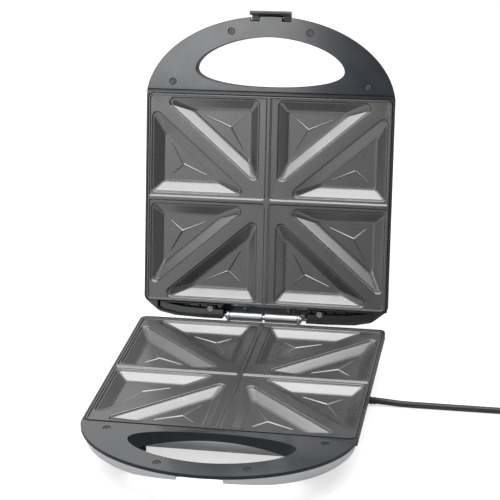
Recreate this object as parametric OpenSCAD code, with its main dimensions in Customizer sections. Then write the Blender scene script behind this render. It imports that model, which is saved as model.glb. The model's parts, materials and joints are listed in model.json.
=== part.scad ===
// Sandwich toaster: two hinged, heated clamshell halves with four quadrants of triangular pockets.
// Millimetres, +Z up, -Y is the handle side. The toaster stands open on z = 0.
// Each half is drawn as the lower one, with the parting plane at z = 0 and its depth going down.

/* [Baking plates] */
// Width of a baking plate, side to side
plate_w = 240; // [228:1:260]
// Depth of a baking plate, handle side to hinge side
plate_d = 206; // [196:1:220]
// Corner radius of a plate
plate_corner = 5; // [3:0.5:8]
// Wall of the plate casting
plate_wall = 2.2; // [1.8:0.1:2.8]
// Gap between the two plates' ridges when the lid is shut
plate_gap = 0.5; // [0.4:0.1:1.2]
// Height of the rim and the cutting ridges above the lands
ridge_h = 1.5; // [1:0.1:2]
// Width of the cutting ridges at their top
ridge_w = 3; // [2:0.1:4]
// Width of the rim round the plate at its top
plate_rim = 1.4; // [1:0.1:1.8]
// Depth of a pocket below the lands
pocket_depth = 6.8; // [5.8:0.2:8]
// Radius of a pocket's corners at its mouth
pocket_r = 3.5; // [3:0.5:5]
// How far a pocket's wall beside the middle ridge leans in, mouth to floor
middle_lean = 7; // [5.5:0.5:8.5]
// How far its other leg walls lean in
leg_lean = 9.2; // [7:0.2:10.4]
// How far its diagonal wall leans in
diagonal_lean = 9.2; // [7:0.2:11]
// Land between the long pockets and the middle ridge
land_middle = 10.2; // [9:0.2:12]
// Land between the side pockets and the cross ridge
land_cross = 6.3; // [5.5:0.1:8]
// Land between the pockets and the plate's edge
land_edge = 4.2; // [4:0.1:6]
// Land from the diagonal to a long pocket
land_long = 6.2; // [5.5:0.1:8]
// Land from the diagonal to a side pocket
land_side = 7.8; // [6:0.1:9]
// Height of the three-armed rib on each pocket floor
star_h = 0.8; // [0.5:0.1:1.2]
// Width of the three-armed rib
star_w = 1.8; // [1.2:0.1:2.4]

/* [Body] */
// Width of the frame lip outside the plate at the sides
side_lip = 1.9; // [1.6:0.1:3]
// Clearance between a plate and its frame
plate_clear = 0.3; // [0.2:0.1:0.6]
// Half width of the handle dome, beyond the frame's side
dome_step = 1; // [0.5:0.1:2]
// How far the handle reaches in front of the plate
handle_reach = 77; // [72:0.5:90]
// Depth of the frame's face below the parting plane
face_drop = 0.3; // [0.2:0.1:1.2]
// Thickness of the frame's face
face_t = 3.4; // [3:0.1:4.5]
// Depth of the frame's side wall
side_wall_h = 7; // [6:0.5:9]
// Depth of a housing, parting plane to its outer face
housing_h = 34; // [33:0.5:40]
// Wall of the moulded housings
housing_wall = 2.4; // [2:0.1:3]
// Depth of the handle, parting plane to its outer face
handle_h = 16.4; // [15:0.2:20]
// How much thinner the handle is in the middle
grip_arch = 8; // [5:0.5:8.5]
// Height of a foot
foot_h = 6; // [5.5:0.5:10]
// Radius of a foot
foot_r = 9; // [7:0.5:12]

/* [Handle opening] */
// Half width of the hand opening
hand_w = 73; // [60:1:80]
// Distance of its widest line from the plate's front edge
hand_off = 25.5; // [24:0.5:30]
// How far it reaches to the front of that line
hand_front = 31.5; // [26:0.5:33]
// How far it reaches to the back of that line
hand_back = 16.5; // [12:0.5:18]

/* [Hinge] */
// Distance of the hinge axis behind the plate's edge
hinge_off = 12; // [11.5:0.1:14]
// Angle to which the lid stands open
lid_open = 105.5; // [90:0.5:110]
// Radius of the hinge pin
pin_r = 2.4; // [2:0.1:3]
// Radius of the rolled hinge barrels
barrel_r = 4.5; // [4.2:0.1:5]
// Running clearance of the pin in the barrels
pin_clear = 0.05; // [0.03:0.01:0.1]
// Half length of the pair of barrels
barrel_reach = 34; // [28:1:36]
// Sheet thickness of the hinge leaves
leaf_t = 1.5; // [1.2:0.1:2]

/* [Latch] */
// Half width of the latch
latch_w = 19.4; // [18:0.2:24]
// How far the latch stands in front of the handle
latch_reach = 5; // [4.5:0.1:7]
// Thickness of the latch bar
latch_t = 2.8; // [2.2:0.1:3.5]
// Radius of the latch pin
latch_pin_r = 1.5; // [1.2:0.1:2]

/* [Heaters] */
// Radius of the heating tube
heater_r = 3.3; // [3:0.1:4]
// Half width of the heating loop
heater_w = 75; // [65:1:85]
// Half depth of the heating loop
heater_d = 48; // [40:1:52]
// Sheet thickness of the reflector pans
pan_t = 0.8; // [0.5:0.1:1.2]

/* [Cord] */
// Diameter of the mains cord
cord_d = 6; // [5:0.5:7]
// Radius of the flange of the cord bushing
bushing_r = 4.3; // [4:0.1:4.4]
// Radius of the plug's body
plug_r = 18; // [16:0.5:20]

/* [Hidden] */

eps = 0.01;                     // overshoot of a cut
fit = 0.3;                      // gap between pieces that don't press on each other
touch = 0.1;                    // gap under a piece that rests on another
curve_steps = 44;               // steps of a half outline

// Plan of a half, from the plate's centre
plate_x = plate_w / 2;
plate_y = plate_d / 2;
body_x = plate_x + plate_clear + side_lip;
rear_y = plate_y + plate_clear + side_lip;
dome_x = body_x + dome_step;
dome_y = -plate_y + 8;          // centre of the handle's elliptical dome
dome_end = -plate_y - 1;        // where the dome steps in to the body
front_y = -plate_y - handle_reach;
dome_reach = dome_y - front_y;
rear_r = 6;                     // rear corners of the lower half
hinge_y = plate_y + hinge_off;
lid_rear = hinge_y + 3.5;       // the lid covers the hinge
lid_cut_x = 14;                 // cut-off rear corners of the lid
lid_cut_y = 19;
rear_share = 0.3;               // the rear wall leans in this much of what the others do
arch_x = 100;                   // half width of the handle's thinner middle
star_reach = 0.52;              // share of the way to a floor's corner that a rib's arm takes

// Depths of a half, below the parting plane
rim_top = plate_gap / 2;
land_top = rim_top + ridge_h;
flange_under = land_top + plate_wall;
floor_top = land_top + pocket_depth;
floor_under = floor_top + plate_wall;
rim_under = face_drop + face_t;
side_under = face_drop + side_wall_h;
heater_z = floor_under + fit + heater_r;
pan_top = heater_z + heater_r + fit;
pan_under = pan_top + pan_t;
cavity_floor = housing_h - housing_wall;
table = housing_h + foot_h;     // depth of the table below the parting plane

// Origin: on the table, under the middle of the open toaster
function opened_y(y, z) =
    hinge_y + (y - hinge_y) * cos(lid_open) + z * sin(lid_open);
back_reach = opened_y(front_y + 14, handle_h - 3);
stand_y = -(front_y + back_reach) / 2;

// Screws
screw_r = 1.5;
head_r = 2.8;
head_h = 1.9;
boss_r = 3.8;
handle_screw_at = [[38.5, -plate_y - 62], [96, -plate_y - 12]];
plate_screw_at = [plate_x - 11, plate_y - 9.5];
long_screw_y = 60;              // bosses on the middle land, for the screws through the housing
pan_screw_x = 62;               // bosses on the cross land, for the reflector's screws
rear_screw_x = 55;

module in_base() translate([0, stand_y, table]) children();

// Children are drawn with the lid shut
module in_lid()
    in_base()
    translate([0, hinge_y, 0]) rotate([-lid_open, 0, 0]) translate([0, -hinge_y, 0])
    children();

module as_upper() in_lid() mirror([0, 0, 1]) children();

module both_sides() {
    children();
    mirror([1, 0, 0]) children();
}

module quarters() both_sides() {
    children();
    mirror([0, 1, 0]) children();
}

// The four bosses on the back of a plate
module long_bosses() for (y = [-long_screw_y, long_screw_y]) translate([0, y]) children();
module pan_bosses() for (x = [-pan_screw_x, pan_screw_x]) translate([x, 0]) children();
module both_bosses() {
    long_bosses() children();
    pan_bosses() children();
}

// A prism of a plan outline between two depths
module layer(top, under) translate([0, 0, -under]) linear_extrude(under - top) children();

// A rod that stands down from one depth to another
module drop(top, under, r) translate([0, 0, -under]) cylinder(h = under - top, r = r, $fn = 32);

// A solid through rings of points, listed from the lowest up, each anticlockwise from above
module loft(rings) {
    n = len(rings[0]);
    last = (len(rings) - 1) * n;
    bottom = [for (k = [0:n - 1]) k];
    top = [for (k = [n - 1:-1:0]) last + k];
    walls = [for (i = [0:len(rings) - 2], k = [0:n - 1], half = [0, 1])
        let (m = (k + 1) % n, low = i * n, high = low + n)
        half == 0 ? [low + k, high + k, high + m] : [low + k, high + m, low + m]];
    polyhedron(points = [for (ring = rings) each ring], faces = concat([bottom, top], walls), convexity = 4);
}

function at_depth(points, depth) = [for (p = points) [p[0], p[1], -depth]];

// ---- plan outlines ------------------------------------------------------------------

function dome_points(inset, end) =
    let (a = dome_x - inset, b = dome_reach - inset,
         e = asin((dome_y - end) / b))
    [for (i = [0:curve_steps]) let (t = 180 + e + i * (180 - 2 * e) / curve_steps)
        [a * cos(t), dome_y + b * sin(t)]];

function arc_points(cx, cy, r, from, to, steps) =
    [for (i = [0:steps]) let (t = from + i * (to - from) / steps)
        [cx + r * cos(t), cy + r * sin(t)]];

function flip_x(points) = [for (i = [len(points) - 1:-1:0]) [-points[i][0], points[i][1]]];

// Right half of the rear edge, moved in by one distance at the side and another at the rear
function square_rear(side, rear) =
    arc_points(body_x - side - rear_r, rear_y - rear - rear_r, rear_r, 0, 90, 6);

function lid_corner(side, rear) =
    let (x = body_x - side, y = lid_rear - rear, k = (side + rear) * 0.28)
    [[x, y - lid_cut_y + k], [x - 1.5, y - lid_cut_y + 3.5 + k],
     [x - lid_cut_x + k, y - 5.5], [x - lid_cut_x - 3 + k, y - 4],
     [x - 32, y - 1], [x - 60, y]];

function rear_points(side, rear, lid) = lid ? lid_corner(side, rear) : square_rear(side, rear);

// Whole outline of a half, anticlockwise from the left end of the dome
function half_outline(inset, lid) =
    let (rear = rear_points(inset, inset, lid))
    concat(dome_points(inset, dome_end), [[body_x - inset, dome_end]], rear,
           flip_x(rear), [[-body_x + inset, dome_end]]);

// The body without the handle, its walls leaning in and moved in by a wall
function body_outline(lean, wall, lid) =
    let (inset = lean + wall, rear = rear_points(inset, lean * rear_share + wall, lid),
         front = -plate_y - 3 + inset, r = 12)
    concat(arc_points(-body_x + inset + r, front + r, r, 180, 270, 6),
           arc_points(body_x - inset - r, front + r, r, 270, 360, 6),
           rear, flip_x(rear));

// The hand opening: pointed ends, fuller to the front than to the back
function swell(t, power) = sign(t) * pow(abs(t), 2 / power);
function hand_points(grow) =
    [for (i = [0:2 * curve_steps - 1]) let (t = i * 180 / curve_steps,
        b = t < 180 ? hand_back : hand_front, power = t < 180 ? 2.2 : 1.8)
        [(hand_w + grow) * swell(cos(t), power),
         -plate_y - hand_off + (b + grow) * swell(sin(t), power)]];

// The outline behind a line across it, moved in
module rear_plan(inset, from_y, lid) let (rear = rear_points(inset, inset, lid)) intersection() {
    polygon(concat([[-body_x + inset, dome_end - 1], [body_x - inset, dome_end - 1]], rear, flip_x(rear)));
    translate([-dome_x, from_y]) square(2 * dome_x);
}

module rounded_rect(x, y, r) polygon(concat(
    arc_points(x - r, y - r, r, 0, 90, 6), arc_points(-x + r, y - r, r, 90, 180, 6),
    arc_points(-x + r, -y + r, r, 180, 270, 6), arc_points(x - r, -y + r, r, 270, 360, 6)));

// ---- baking plates --------------------------------------------------------------------

diagonal_angle = atan2(plate_d, plate_w);

// Pocket corners in its own frame: right angle at [0, 0], legs a and b. The three walls are
// moved in: the one along b, the one along a, and the diagonal
function inset_corners(a, b, inward) =
    let (e = 1 - inward[2] * sqrt(1 / (a * a) + 1 / (b * b)))
    [[inward[0], inward[1]], [a * (e - inward[1] / b), inward[1]], [inward[0], b * (e - inward[0] / a)]];

// One ring of a pocket: a triangle with rounded corners at a depth
function pocket_ring(a, b, depth, inward, r) =
    let (c = inset_corners(a, b, inward + r * all_walls), h = atan2(a, b))
    at_depth(concat(arc_points(c[0][0], c[0][1], r, 180, 270, 4),
                    arc_points(c[1][0], c[1][1], r, -90, h, 8),
                    arc_points(c[2][0], c[2][1], r, h, 180, 8)), depth);

all_walls = [1, 1, 1];
long_lean = [middle_lean, leg_lean, diagonal_lean];
side_lean = [leg_lean, leg_lean, diagonal_lean];

// Pocket cavity: blended floor, leaning walls that meet in creases, short steep step, bevelled lip
module pocket_cavity(a, b, lean) {
    lip = land_top + 0.6;
    step = lip + 0.9;
    loft([
        pocket_ring(a, b, floor_top, lean, pocket_r * 0.25),
        pocket_ring(a, b, floor_top - 0.4, lean - 1.2 * all_walls, pocket_r * 0.35),
        pocket_ring(a, b, step, 0.5 * all_walls, pocket_r * 0.75),
        pocket_ring(a, b, lip, 0 * all_walls, pocket_r * 0.9),
        pocket_ring(a, b, land_top, -1.1 * all_walls, pocket_r),
        pocket_ring(a, b, land_top - 1, -1.1 * all_walls, pocket_r)]);
}

// The back of the casting follows the pocket at the casting's wall
module pocket_back(a, b, lean) loft([
    pocket_ring(a, b, floor_under, lean - plate_wall * all_walls, pocket_r),
    pocket_ring(a, b, flange_under + 1, -plate_wall * 0.4 * all_walls, pocket_r),
    pocket_ring(a, b, flange_under - 0.5, -plate_wall * 0.5 * all_walls, pocket_r)]);

// Three-armed rib from the middle of the floor towards its corners
module pocket_star(a, b, lean) {
    c = inset_corners(a, b, lean);
    centre = (c[0] + c[1] + c[2]) / 3;
    for (corner = c) {
        way = corner - centre;
        translate([centre[0], centre[1], -floor_top - eps])
            rotate([0, 0, atan2(way[1], way[0])]) rotate([90, 0, 90])
            translate([0, 0, -star_w / 3]) linear_extrude(star_reach * norm(way) + star_w / 3)
            polygon([[-star_w / 2, 0], [star_w / 2, 0], [0, star_h + eps]]);
    }
}

// Long pocket: right angle beside the middle ridge and the front or back edge
long_corner = [land_middle, plate_y - land_edge];
long_a = (plate_y - land_edge) / tan(diagonal_angle) - land_long / sin(diagonal_angle) - land_middle;
long_b = long_a * tan(diagonal_angle);
// Side pocket: right angle beside the side edge and the cross ridge
side_corner = [plate_x - land_edge, land_cross];
side_b = (plate_x - land_edge) * tan(diagonal_angle) - land_side / cos(diagonal_angle) - land_cross;
side_a = side_b / tan(diagonal_angle);

module at_long_pocket() translate(long_corner) mirror([0, 1, 0]) children();
module at_side_pocket() translate(side_corner) mirror([1, 0, 0]) children();

// Ridge with leaning sides along x, from -reach to reach
module ridge(reach) rotate([90, 0, 90]) translate([0, 0, -reach]) linear_extrude(2 * reach)
    polygon([[-ridge_w / 2, -rim_top], [-ridge_w / 2 - 1.2, -land_top], [-ridge_w / 2 - 1.2, -land_top - 1],
             [ridge_w / 2 + 1.2, -land_top - 1], [ridge_w / 2 + 1.2, -land_top], [ridge_w / 2, -rim_top]]);

module plate_half() {
    difference() {
        union() {
            layer(land_top, flange_under) rounded_rect(plate_x, plate_y, plate_corner);
            difference() {
                layer(rim_top, flange_under) rounded_rect(plate_x, plate_y, plate_corner);
                layer(rim_top - 1, land_top)
                    rounded_rect(plate_x - plate_rim, plate_y - plate_rim, plate_corner - plate_rim);
            }
            ridge(plate_x - plate_rim);
            rotate([0, 0, 90]) ridge(plate_y - plate_rim);
            // fillets where the ridges cross
            layer(rim_top, land_top + 1) difference() {
                square(2 * (ridge_w / 2 + 4), center = true);
                for (x = [-1, 1], y = [-1, 1])
                    translate([x, y] * (ridge_w / 2 + 4)) circle(r = 4, $fn = 24);
            }
            quarters() {
                at_long_pocket() pocket_back(long_a, long_b, long_lean);
                at_side_pocket() pocket_back(side_a, side_b, side_lean);
                translate(plate_screw_at) drop(flange_under - 1, flange_under + 2.3, boss_r - 0.4);
            }
            both_bosses() drop(flange_under - 1, pan_top, 3.3);
        }
        quarters() {
            at_long_pocket() pocket_cavity(long_a, long_b, long_lean);
            at_side_pocket() pocket_cavity(side_a, side_b, side_lean);
            translate(plate_screw_at) drop(land_top + 0.9, flange_under + 3, screw_r + touch / 2);
        }
        both_bosses() drop(pan_top - boss_hole, pan_top + 1, screw_r + touch / 2);
    }
    quarters() {
        at_long_pocket() pocket_star(long_a, long_b, long_lean);
        at_side_pocket() pocket_star(side_a, side_b, side_lean);
    }
}

module lower_plate() color("dimgray") in_base() plate_half();
module upper_plate() color("dimgray") as_upper() plate_half();

// Depth of the handle's outer face: thinner in the middle
function handle_under(x) = handle_h - grip_arch * (abs(x) < arch_x ? (1 + cos(180 * x / arch_x)) / 2 : 0);

// Space inside the handle's arched outer face, less a wall
module arched(wall) rotate([90, 0, 0]) translate([0, 0, -front_y - dome_reach - 40])
    linear_extrude(dome_reach + 80) polygon(concat([[dome_x + 5, 5], [-dome_x - 5, 5]],
        [for (i = [-12:12]) let (x = i * arch_x / 12) [i == -12 ? -dome_x - 5 : i == 12 ? dome_x + 5 : x,
            -handle_under(x) + wall]]));

// ---- frames: glossy inner covers with the handle faces ------------------------------------

collar_t = 2;                   // wall of the collar round the hand opening
skirt_in = housing_wall + 2.4;
skirt_t = 1.8;
handle_seat = face_drop + 2.4;  // depth of the seats of the handle's screws
lug_t = 2.5;
lug_top = flange_under + touch;

// Web under each plate corner that carries the plate
module plate_lug() difference() {
    layer(lug_top, lug_top + lug_t) polygon([
        [plate_x + 1.2, plate_y + 1.2], [plate_x - 15.6, plate_y + 1.2], [plate_x - 15.6, plate_y - 11],
        [plate_x - 12, plate_y - 14.2], [plate_x + 1.2, plate_y - 14.2]]);
    translate(plate_screw_at) drop(0, lug_top + lug_t + 1, boss_r - 0.4 + touch);
}

module frame_body(lid) {
    // face of the handle and rim
    layer(face_drop, rim_under) polygon(half_outline(0, lid));
    // side and rear wall
    difference() {
        layer(rim_under - eps, side_under) rear_plan(0, dome_end, lid);
        layer(rim_under - 1, side_under + 1) rear_plan(side_lip, dome_end - 1, lid);
    }
    // collar of the hand opening
    intersection() {
        layer(rim_under - eps, handle_h) polygon(hand_points(collar_t));
        arched(0);
    }
    // skirt inside the housing's handle, open where the latch passes
    intersection() {
        difference() {
            layer(rim_under - eps, rim_under + 2.4) polygon(dome_points(skirt_in, dome_y - 1));
            layer(rim_under - 1, rim_under + 3) polygon(dome_points(skirt_in + skirt_t, dome_y - 1));
        }
        both_sides() translate([latch_w + 4, front_y - 1, -table])
            cube([dome_x, dome_end - 8 - front_y, table]);
    }
}

module frame_half(lid) {
    difference() {
        frame_body(lid);
        // window of the plate
        layer(-1, side_under + 1)
            rounded_rect(plate_x + plate_clear, plate_y + plate_clear, plate_corner + plate_clear);
        // step along the back of the handle face
        layer(-1, face_drop + 0.8) translate([-dome_x - 1, -plate_y - 4.2]) square([2 * dome_x + 2, 5]);
        // hand opening
        layer(-1, handle_h + 1) polygon(hand_points(0));
        both_sides() for (p = handle_screw_at) translate(p) {
            drop(-1, handle_seat, head_r + fit);
            drop(-1, rim_under + 1, screw_r + fit);
        }
    }
    quarters() plate_lug();
}

module lower_frame() color("#1c1d20") in_base() frame_half(false);

hinge_bay = barrel_reach + 8;   // half width of the opening round the hinge

// Tray behind the upper plate, with its two screw towers and ribs
recess_floor = 14;
module rear_recess() {
    floor = recess_floor;
    wall = 1.8;
    inset = 6.6;
    start = plate_y + 1.5;
    // shelf from the frame's wall to the tray
    layer(side_under - 1.6, side_under) difference() {
        rear_plan(side_lip - eps, start, true);
        rear_plan(inset + wall, start - 1, true);
    }
    difference() {
        layer(side_under - 1.6, floor) rear_plan(inset, start, true);
        difference() {
            layer(0, floor - wall) rear_plan(inset + wall, start + wall, true);
            both_sides() {
                translate([rear_screw_x - 4.5, plate_y, -floor]) cube([9, 30, floor - 6]);
                for (x = [hinge_bay + 2, rear_screw_x + 12, rear_screw_x + 24])
                    translate([x, plate_y, -floor]) cube([1.5, 30, 5]);
            }
        }
    }
}

module latch_ears() {
    both_sides() translate([arm_in - fit - 3.2, 0, 0]) rotate([90, 0, 90]) difference() {
        linear_extrude(3.2) union() {
            translate([latch_axis[0], -latch_axis[1]]) circle(r = ear_r, $fn = 32);
            translate([latch_axis[0] - ear_r, -latch_axis[1]])
                square([2 * ear_r, latch_axis[1] - rim_under + eps]);
        }
        translate([latch_axis[0], -latch_axis[1], -1])
            cylinder(h = 6, r = latch_pin_r + pin_clear, $fn = 32);
    }
}

module upper_frame() color("#1c1d20") as_upper() difference() {
    union() {
        frame_half(true);
        rear_recess();
        latch_ears();
    }
    // opening behind the plate and round the hinge
    layer(-1, rim_under + 1) intersection() {
        rear_plan(side_lip, plate_y - 2, true);
        square(2 * [plate_x - 12, table + plate_y], center = true);
    }
    translate([-hinge_bay, plate_y + 1.5, -table]) cube([2 * hinge_bay, 40, table + 1]);
    both_sides() translate([rear_screw_x, rear_screw_y]) drop(-1, table, screw_r + fit);
    // slots for the latch arms
    both_sides() translate([arm_in - fit, front_y - 5, -rim_under - 1])
        cube([arm_out - arm_in + 2 * fit, 9.6, rim_under + 2]);
}

// ---- housings: moulded outer shells ---------------------------------------------------------

module body_form(lid, wall, top) loft([
    at_depth(body_outline(20, wall * 0.7, lid), housing_h - wall),
    at_depth(body_outline(11, wall, lid), housing_h - 6 - wall * 0.5),
    at_depth(body_outline(4, wall, lid), 16),
    at_depth(body_outline(0.6, wall, lid), top)]);

module handle_form(wall, top) intersection() {
    loft([
        at_depth(dome_points(7 + wall * 0.7, dome_y - 1), handle_h - wall),
        at_depth(dome_points(4 + wall, dome_y - 1), handle_h - 3),
        at_depth(dome_points(0.8 + wall, dome_y - 1), top)]);
    arched(wall);
}

shell_top = side_under + touch;
handle_top = rim_under + touch;

module housing_half(lid) {
    difference() {
        union() {
            difference() {
                union() {
                    body_form(lid, 0, shell_top);
                    handle_form(0, handle_top);
                }
                body_form(lid, housing_wall, shell_top - 1);
                handle_form(housing_wall, handle_top - 1);
                // the handle's roof stays clear of the frame's side wall
                layer(0, side_under + touch) translate([-dome_x - 1, dome_end - 0.3])
                    square([2 * dome_x + 2, 300]);
            }
            both_sides() for (p = handle_screw_at) translate(p)
                drop(handle_top, handle_under(p[0]) - 1.2, boss_r);
        }
        // hole that the frame's collar fills
        layer(0, handle_h + 1) polygon(hand_points(collar_t + touch));
        both_sides() for (p = handle_screw_at) translate(p)
            drop(handle_top - 1, handle_under(p[0]) - 2, screw_r + touch / 2);
        // clearance of the latch
        translate([-latch_w - 0.6, front_y - 1, -table]) cube([2 * latch_w + 1.2, 9.5, table]);
    }
    // wall behind the latch notch
    intersection() {
        handle_form(0, handle_top);
        translate([-latch_w - 2.6, front_y + 8.5, -table]) cube([2 * latch_w + 5.2, 2, table]);
    }
}

foot_at = [plate_x - 40, plate_y - 19];
outlet_y = 27;                  // line of the cord outlet
outlet_z = table - bushing_r - 0.3;
outlet_from = body_x - 32.7;    // the outlet block under the floor
outlet_to = body_x - 14.7;
outlet_block_h = 11;
bushing_from = body_x - 21.2;   // the seat of the bushing in the block's groove

module lower_housing() color("#b9babd") in_base() difference() {
    union() {
        housing_half(false);
        // seat of the hinge bracket
        translate([-hinge_bay, rear_y - 6.5, -housing_h + 9])
            cube([2 * hinge_bay, hinge_seat - rear_y + 6.5, 16]);
        // towers of the screws that reach up to the frame
        long_bosses() drop(pan_under + touch, housing_h - 1, boss_r + 1);
        // cord outlet block through the floor
        translate([outlet_from, outlet_y - 9, -table + 1])
            cube([outlet_to - outlet_from, 18, outlet_block_h]);
        for (x = [-60, -20, 20, 60]) translate([x - 0.8, -70, -cavity_floor - eps]) cube([1.6, 140, 2]);
    }
    quarters() translate(foot_at) drop(housing_h - 1.2, housing_h + 1, foot_r - 2 + touch);
    long_bosses() {
        drop(0, housing_h + 1, screw_r + fit);
        drop(housing_screw_seat, housing_h + 1, head_r + fit);
    }
    translate([outlet_from - 10, outlet_y, -outlet_z]) rotate([0, 90, 0])
        cylinder(h = 40, r = bushing_r - 1 + touch, $fn = 32);
    // groove that the bushing comes out through
    translate([bushing_from, outlet_y, -outlet_z]) rotate([0, 90, 0])
        cylinder(h = 40, r = bushing_r + fit, $fn = 32);
    translate([bushing_from, outlet_y - bushing_r - fit, -table - 1])
        cube([40, 2 * (bushing_r + fit), bushing_r + 1.3]);
    both_sides() translate([hinge_screw_x, rear_y - 20, -hinge_screw_z]) rotate([-90, 0, 0])
        cylinder(h = 40, r = screw_r + touch / 2, $fn = 24);
}

lens_at = [11, -plate_y + 29];
lens_r = 4;

module upper_housing() color("#b9babd") as_upper() difference() {
    union() {
        housing_half(true);
        // block that the hinge leaf screws to
        translate([-hinge_bay + 2, leaf_y + leaf_t, -30]) cube([2 * hinge_bay - 4, 5, 21]);
        both_sides() translate([rear_screw_x, rear_screw_y])
            drop(recess_floor + touch, housing_h - 4, boss_r);
        for (x = [-60, -20, 20, 60]) translate([x - 0.8, -60, -cavity_floor - eps]) cube([1.6, 130, 4]);
    }
    // bay of the hinge
    translate([-hinge_bay, plate_y - 4, -9]) cube([2 * hinge_bay, 40, 12]);
    both_sides() {
        translate([rear_screw_x, rear_screw_y])
            drop(0, recess_floor + rear_screw_hold + 2, screw_r + touch / 2);
        translate([lens_at[0], lens_at[1]]) drop(cavity_floor - 5, housing_h + 1, lens_r + touch);
        translate([hinge_screw_x, rear_y - 20, -upper_screw_z]) rotate([-90, 0, 0])
            cylinder(h = 31, r = screw_r + touch / 2, $fn = 24);
    }
}

// ---- hinge --------------------------------------------------------------------------------------

leaf_y = hinge_y - barrel_r;
hinge_seat = hinge_y - barrel_r - 3.5;
hinge_screw_x = 22;
hinge_screw_z = 17;
upper_screw_z = 17;
ear_t = 2;
barrel_gap = 1.4;               // half the gap between the two barrels

// Two rolled barrels with the leaf that goes up into the lid
module upper_hinge() color("silver") in_lid() difference() {
    union() {
        both_sides() translate([barrel_gap, hinge_y, 0]) rotate([0, 90, 0])
            cylinder(h = barrel_reach - barrel_gap, r = barrel_r, $fn = 48);
        both_sides() translate([barrel_gap, leaf_y, 0]) cube([barrel_reach - barrel_gap, leaf_t, 12]);
        translate([-barrel_reach, leaf_y, 10]) cube([2 * barrel_reach, leaf_t, 14]);
    }
    translate([-table, hinge_y, 0]) rotate([0, 90, 0])
        cylinder(h = 2 * table, r = pin_r + pin_clear, $fn = 48);
    both_sides() translate([hinge_screw_x, leaf_y - 1, upper_screw_z]) rotate([-90, 0, 0])
        cylinder(h = 5, r = screw_r + fit, $fn = 24);
}

// Bracket with two ears that hold the pin's ends
module lower_hinge() color("silver") in_base() difference() {
    union() {
        translate([-barrel_reach - ear_t - fit, hinge_seat, -housing_h + 9])
            cube([2 * (barrel_reach + ear_t + fit), leaf_t, 16]);
        both_sides() translate([barrel_reach + fit, 0, 0]) rotate([90, 0, 90]) linear_extrude(ear_t) union() {
            translate([hinge_y, 0]) circle(r = barrel_r + 0.3, $fn = 48);
            polygon([[hinge_seat, -housing_h + 9], [hinge_seat, -9], [hinge_y - 4, 2.5],
                     [hinge_y + 4.5, -1.5], [hinge_seat + 4, -housing_h + 9]]);
        }
    }
    translate([-table, hinge_y, 0]) rotate([0, 90, 0]) cylinder(h = 2 * table, r = pin_r, $fn = 48);
    both_sides() translate([hinge_screw_x, hinge_seat - 1, -hinge_screw_z]) rotate([-90, 0, 0])
        cylinder(h = 5, r = screw_r + fit, $fn = 24);
}

module hinge_pin() color("gainsboro") in_base() translate([0, hinge_y, 0]) rotate([0, 90, 0]) {
    reach = barrel_reach + fit + ear_t + 0.8;
    translate([0, 0, -reach]) cylinder(h = 2 * reach, r = pin_r, $fn = 48);
    for (z = [-reach - 0.7, reach]) translate([0, 0, z]) cylinder(h = 0.7, r = pin_r + 0.7, $fn = 48);
}

// ---- latch --------------------------------------------------------------------------------------

latch_axis = [front_y + 4, 6.6]; // y and height of the latch pin with the lid shut
arm_in = 11.6;
ear_r = 2.6;
arm_out = latch_w - 0.2;
latch_front = front_y - latch_reach;
latch_back = latch_front + latch_t;

module latch() color("#3a3c40") in_lid() difference() {
    union() {
        // bar with a rounded outer face
        translate([-latch_w, 0, 0]) rotate([90, 0, 90]) linear_extrude(2 * latch_w) polygon([
            [latch_back, -8], [latch_front + 0.8, -8], [latch_front, -6.5],
            [latch_front, 4.5], [latch_front + 0.4, 6], [latch_front + 1.4, 7], [latch_back, 7]]);
        // web between the arms, above the frame's edge
        translate([-arm_in - 1, 0, 0]) rotate([90, 0, 90]) linear_extrude(2 * arm_in + 2) polygon([
            [latch_back - 1, 5], [front_y - 0.6, 5], [front_y + 0.8, 5.6], [front_y + 0.8, 7.4],
            [front_y - 0.6, 8], [latch_back - 1, 7]]);
        both_sides() {
            // arm back to the pin
            translate([arm_in, 0, 0]) rotate([90, 0, 90]) linear_extrude(arm_out - arm_in) union() {
                translate(latch_axis) circle(r = ear_r, $fn = 32);
                polygon([[latch_back - 1, 0], [latch_back - 1, 7], [front_y - 0.6, 8.4],
                         [latch_axis[0] - 0.6, latch_axis[1] + ear_r - 0.1],
                         [latch_axis[0], latch_axis[1] - ear_r], [latch_axis[0] - 4.6, latch_axis[1] - ear_r],
                         [latch_axis[0] - 5, 0]]);
            }
            // hook
            translate([arm_in, 0, 0]) rotate([90, 0, 90]) linear_extrude(arm_out - arm_in) polygon([
                [latch_back - 1, -8], [front_y - 1, -7], [front_y - 0.8, -5.4], [latch_back - 1, -5.2]]);
        }
    }
    translate([-table, latch_axis[0], latch_axis[1]]) rotate([0, 90, 0])
        cylinder(h = 2 * table, r = latch_pin_r, $fn = 32);
}

module latch_pin() color("silver") in_lid() translate([-arm_out + 0.6, latch_axis[0], latch_axis[1]])
    rotate([0, 90, 0]) cylinder(h = 2 * (arm_out - 0.6), r = latch_pin_r, $fn = 32);

// ---- heaters and reflectors ---------------------------------------------------------------------

heater_bend = 12;
heater_end = plate_y - 14;
heater_tail = 16;

module tube(from, to) {
    way = to - from;
    translate(from) rotate([0, 90, atan2(way[1], way[0])]) cylinder(h = norm(way), r = heater_r, $fn = 24);
}

module bend(centre, from, sweep) translate(centre) rotate([0, 0, from])
    rotate_extrude(angle = sweep, $fn = 48) translate([heater_bend, 0]) circle(r = heater_r, $fn = 24);

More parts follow.
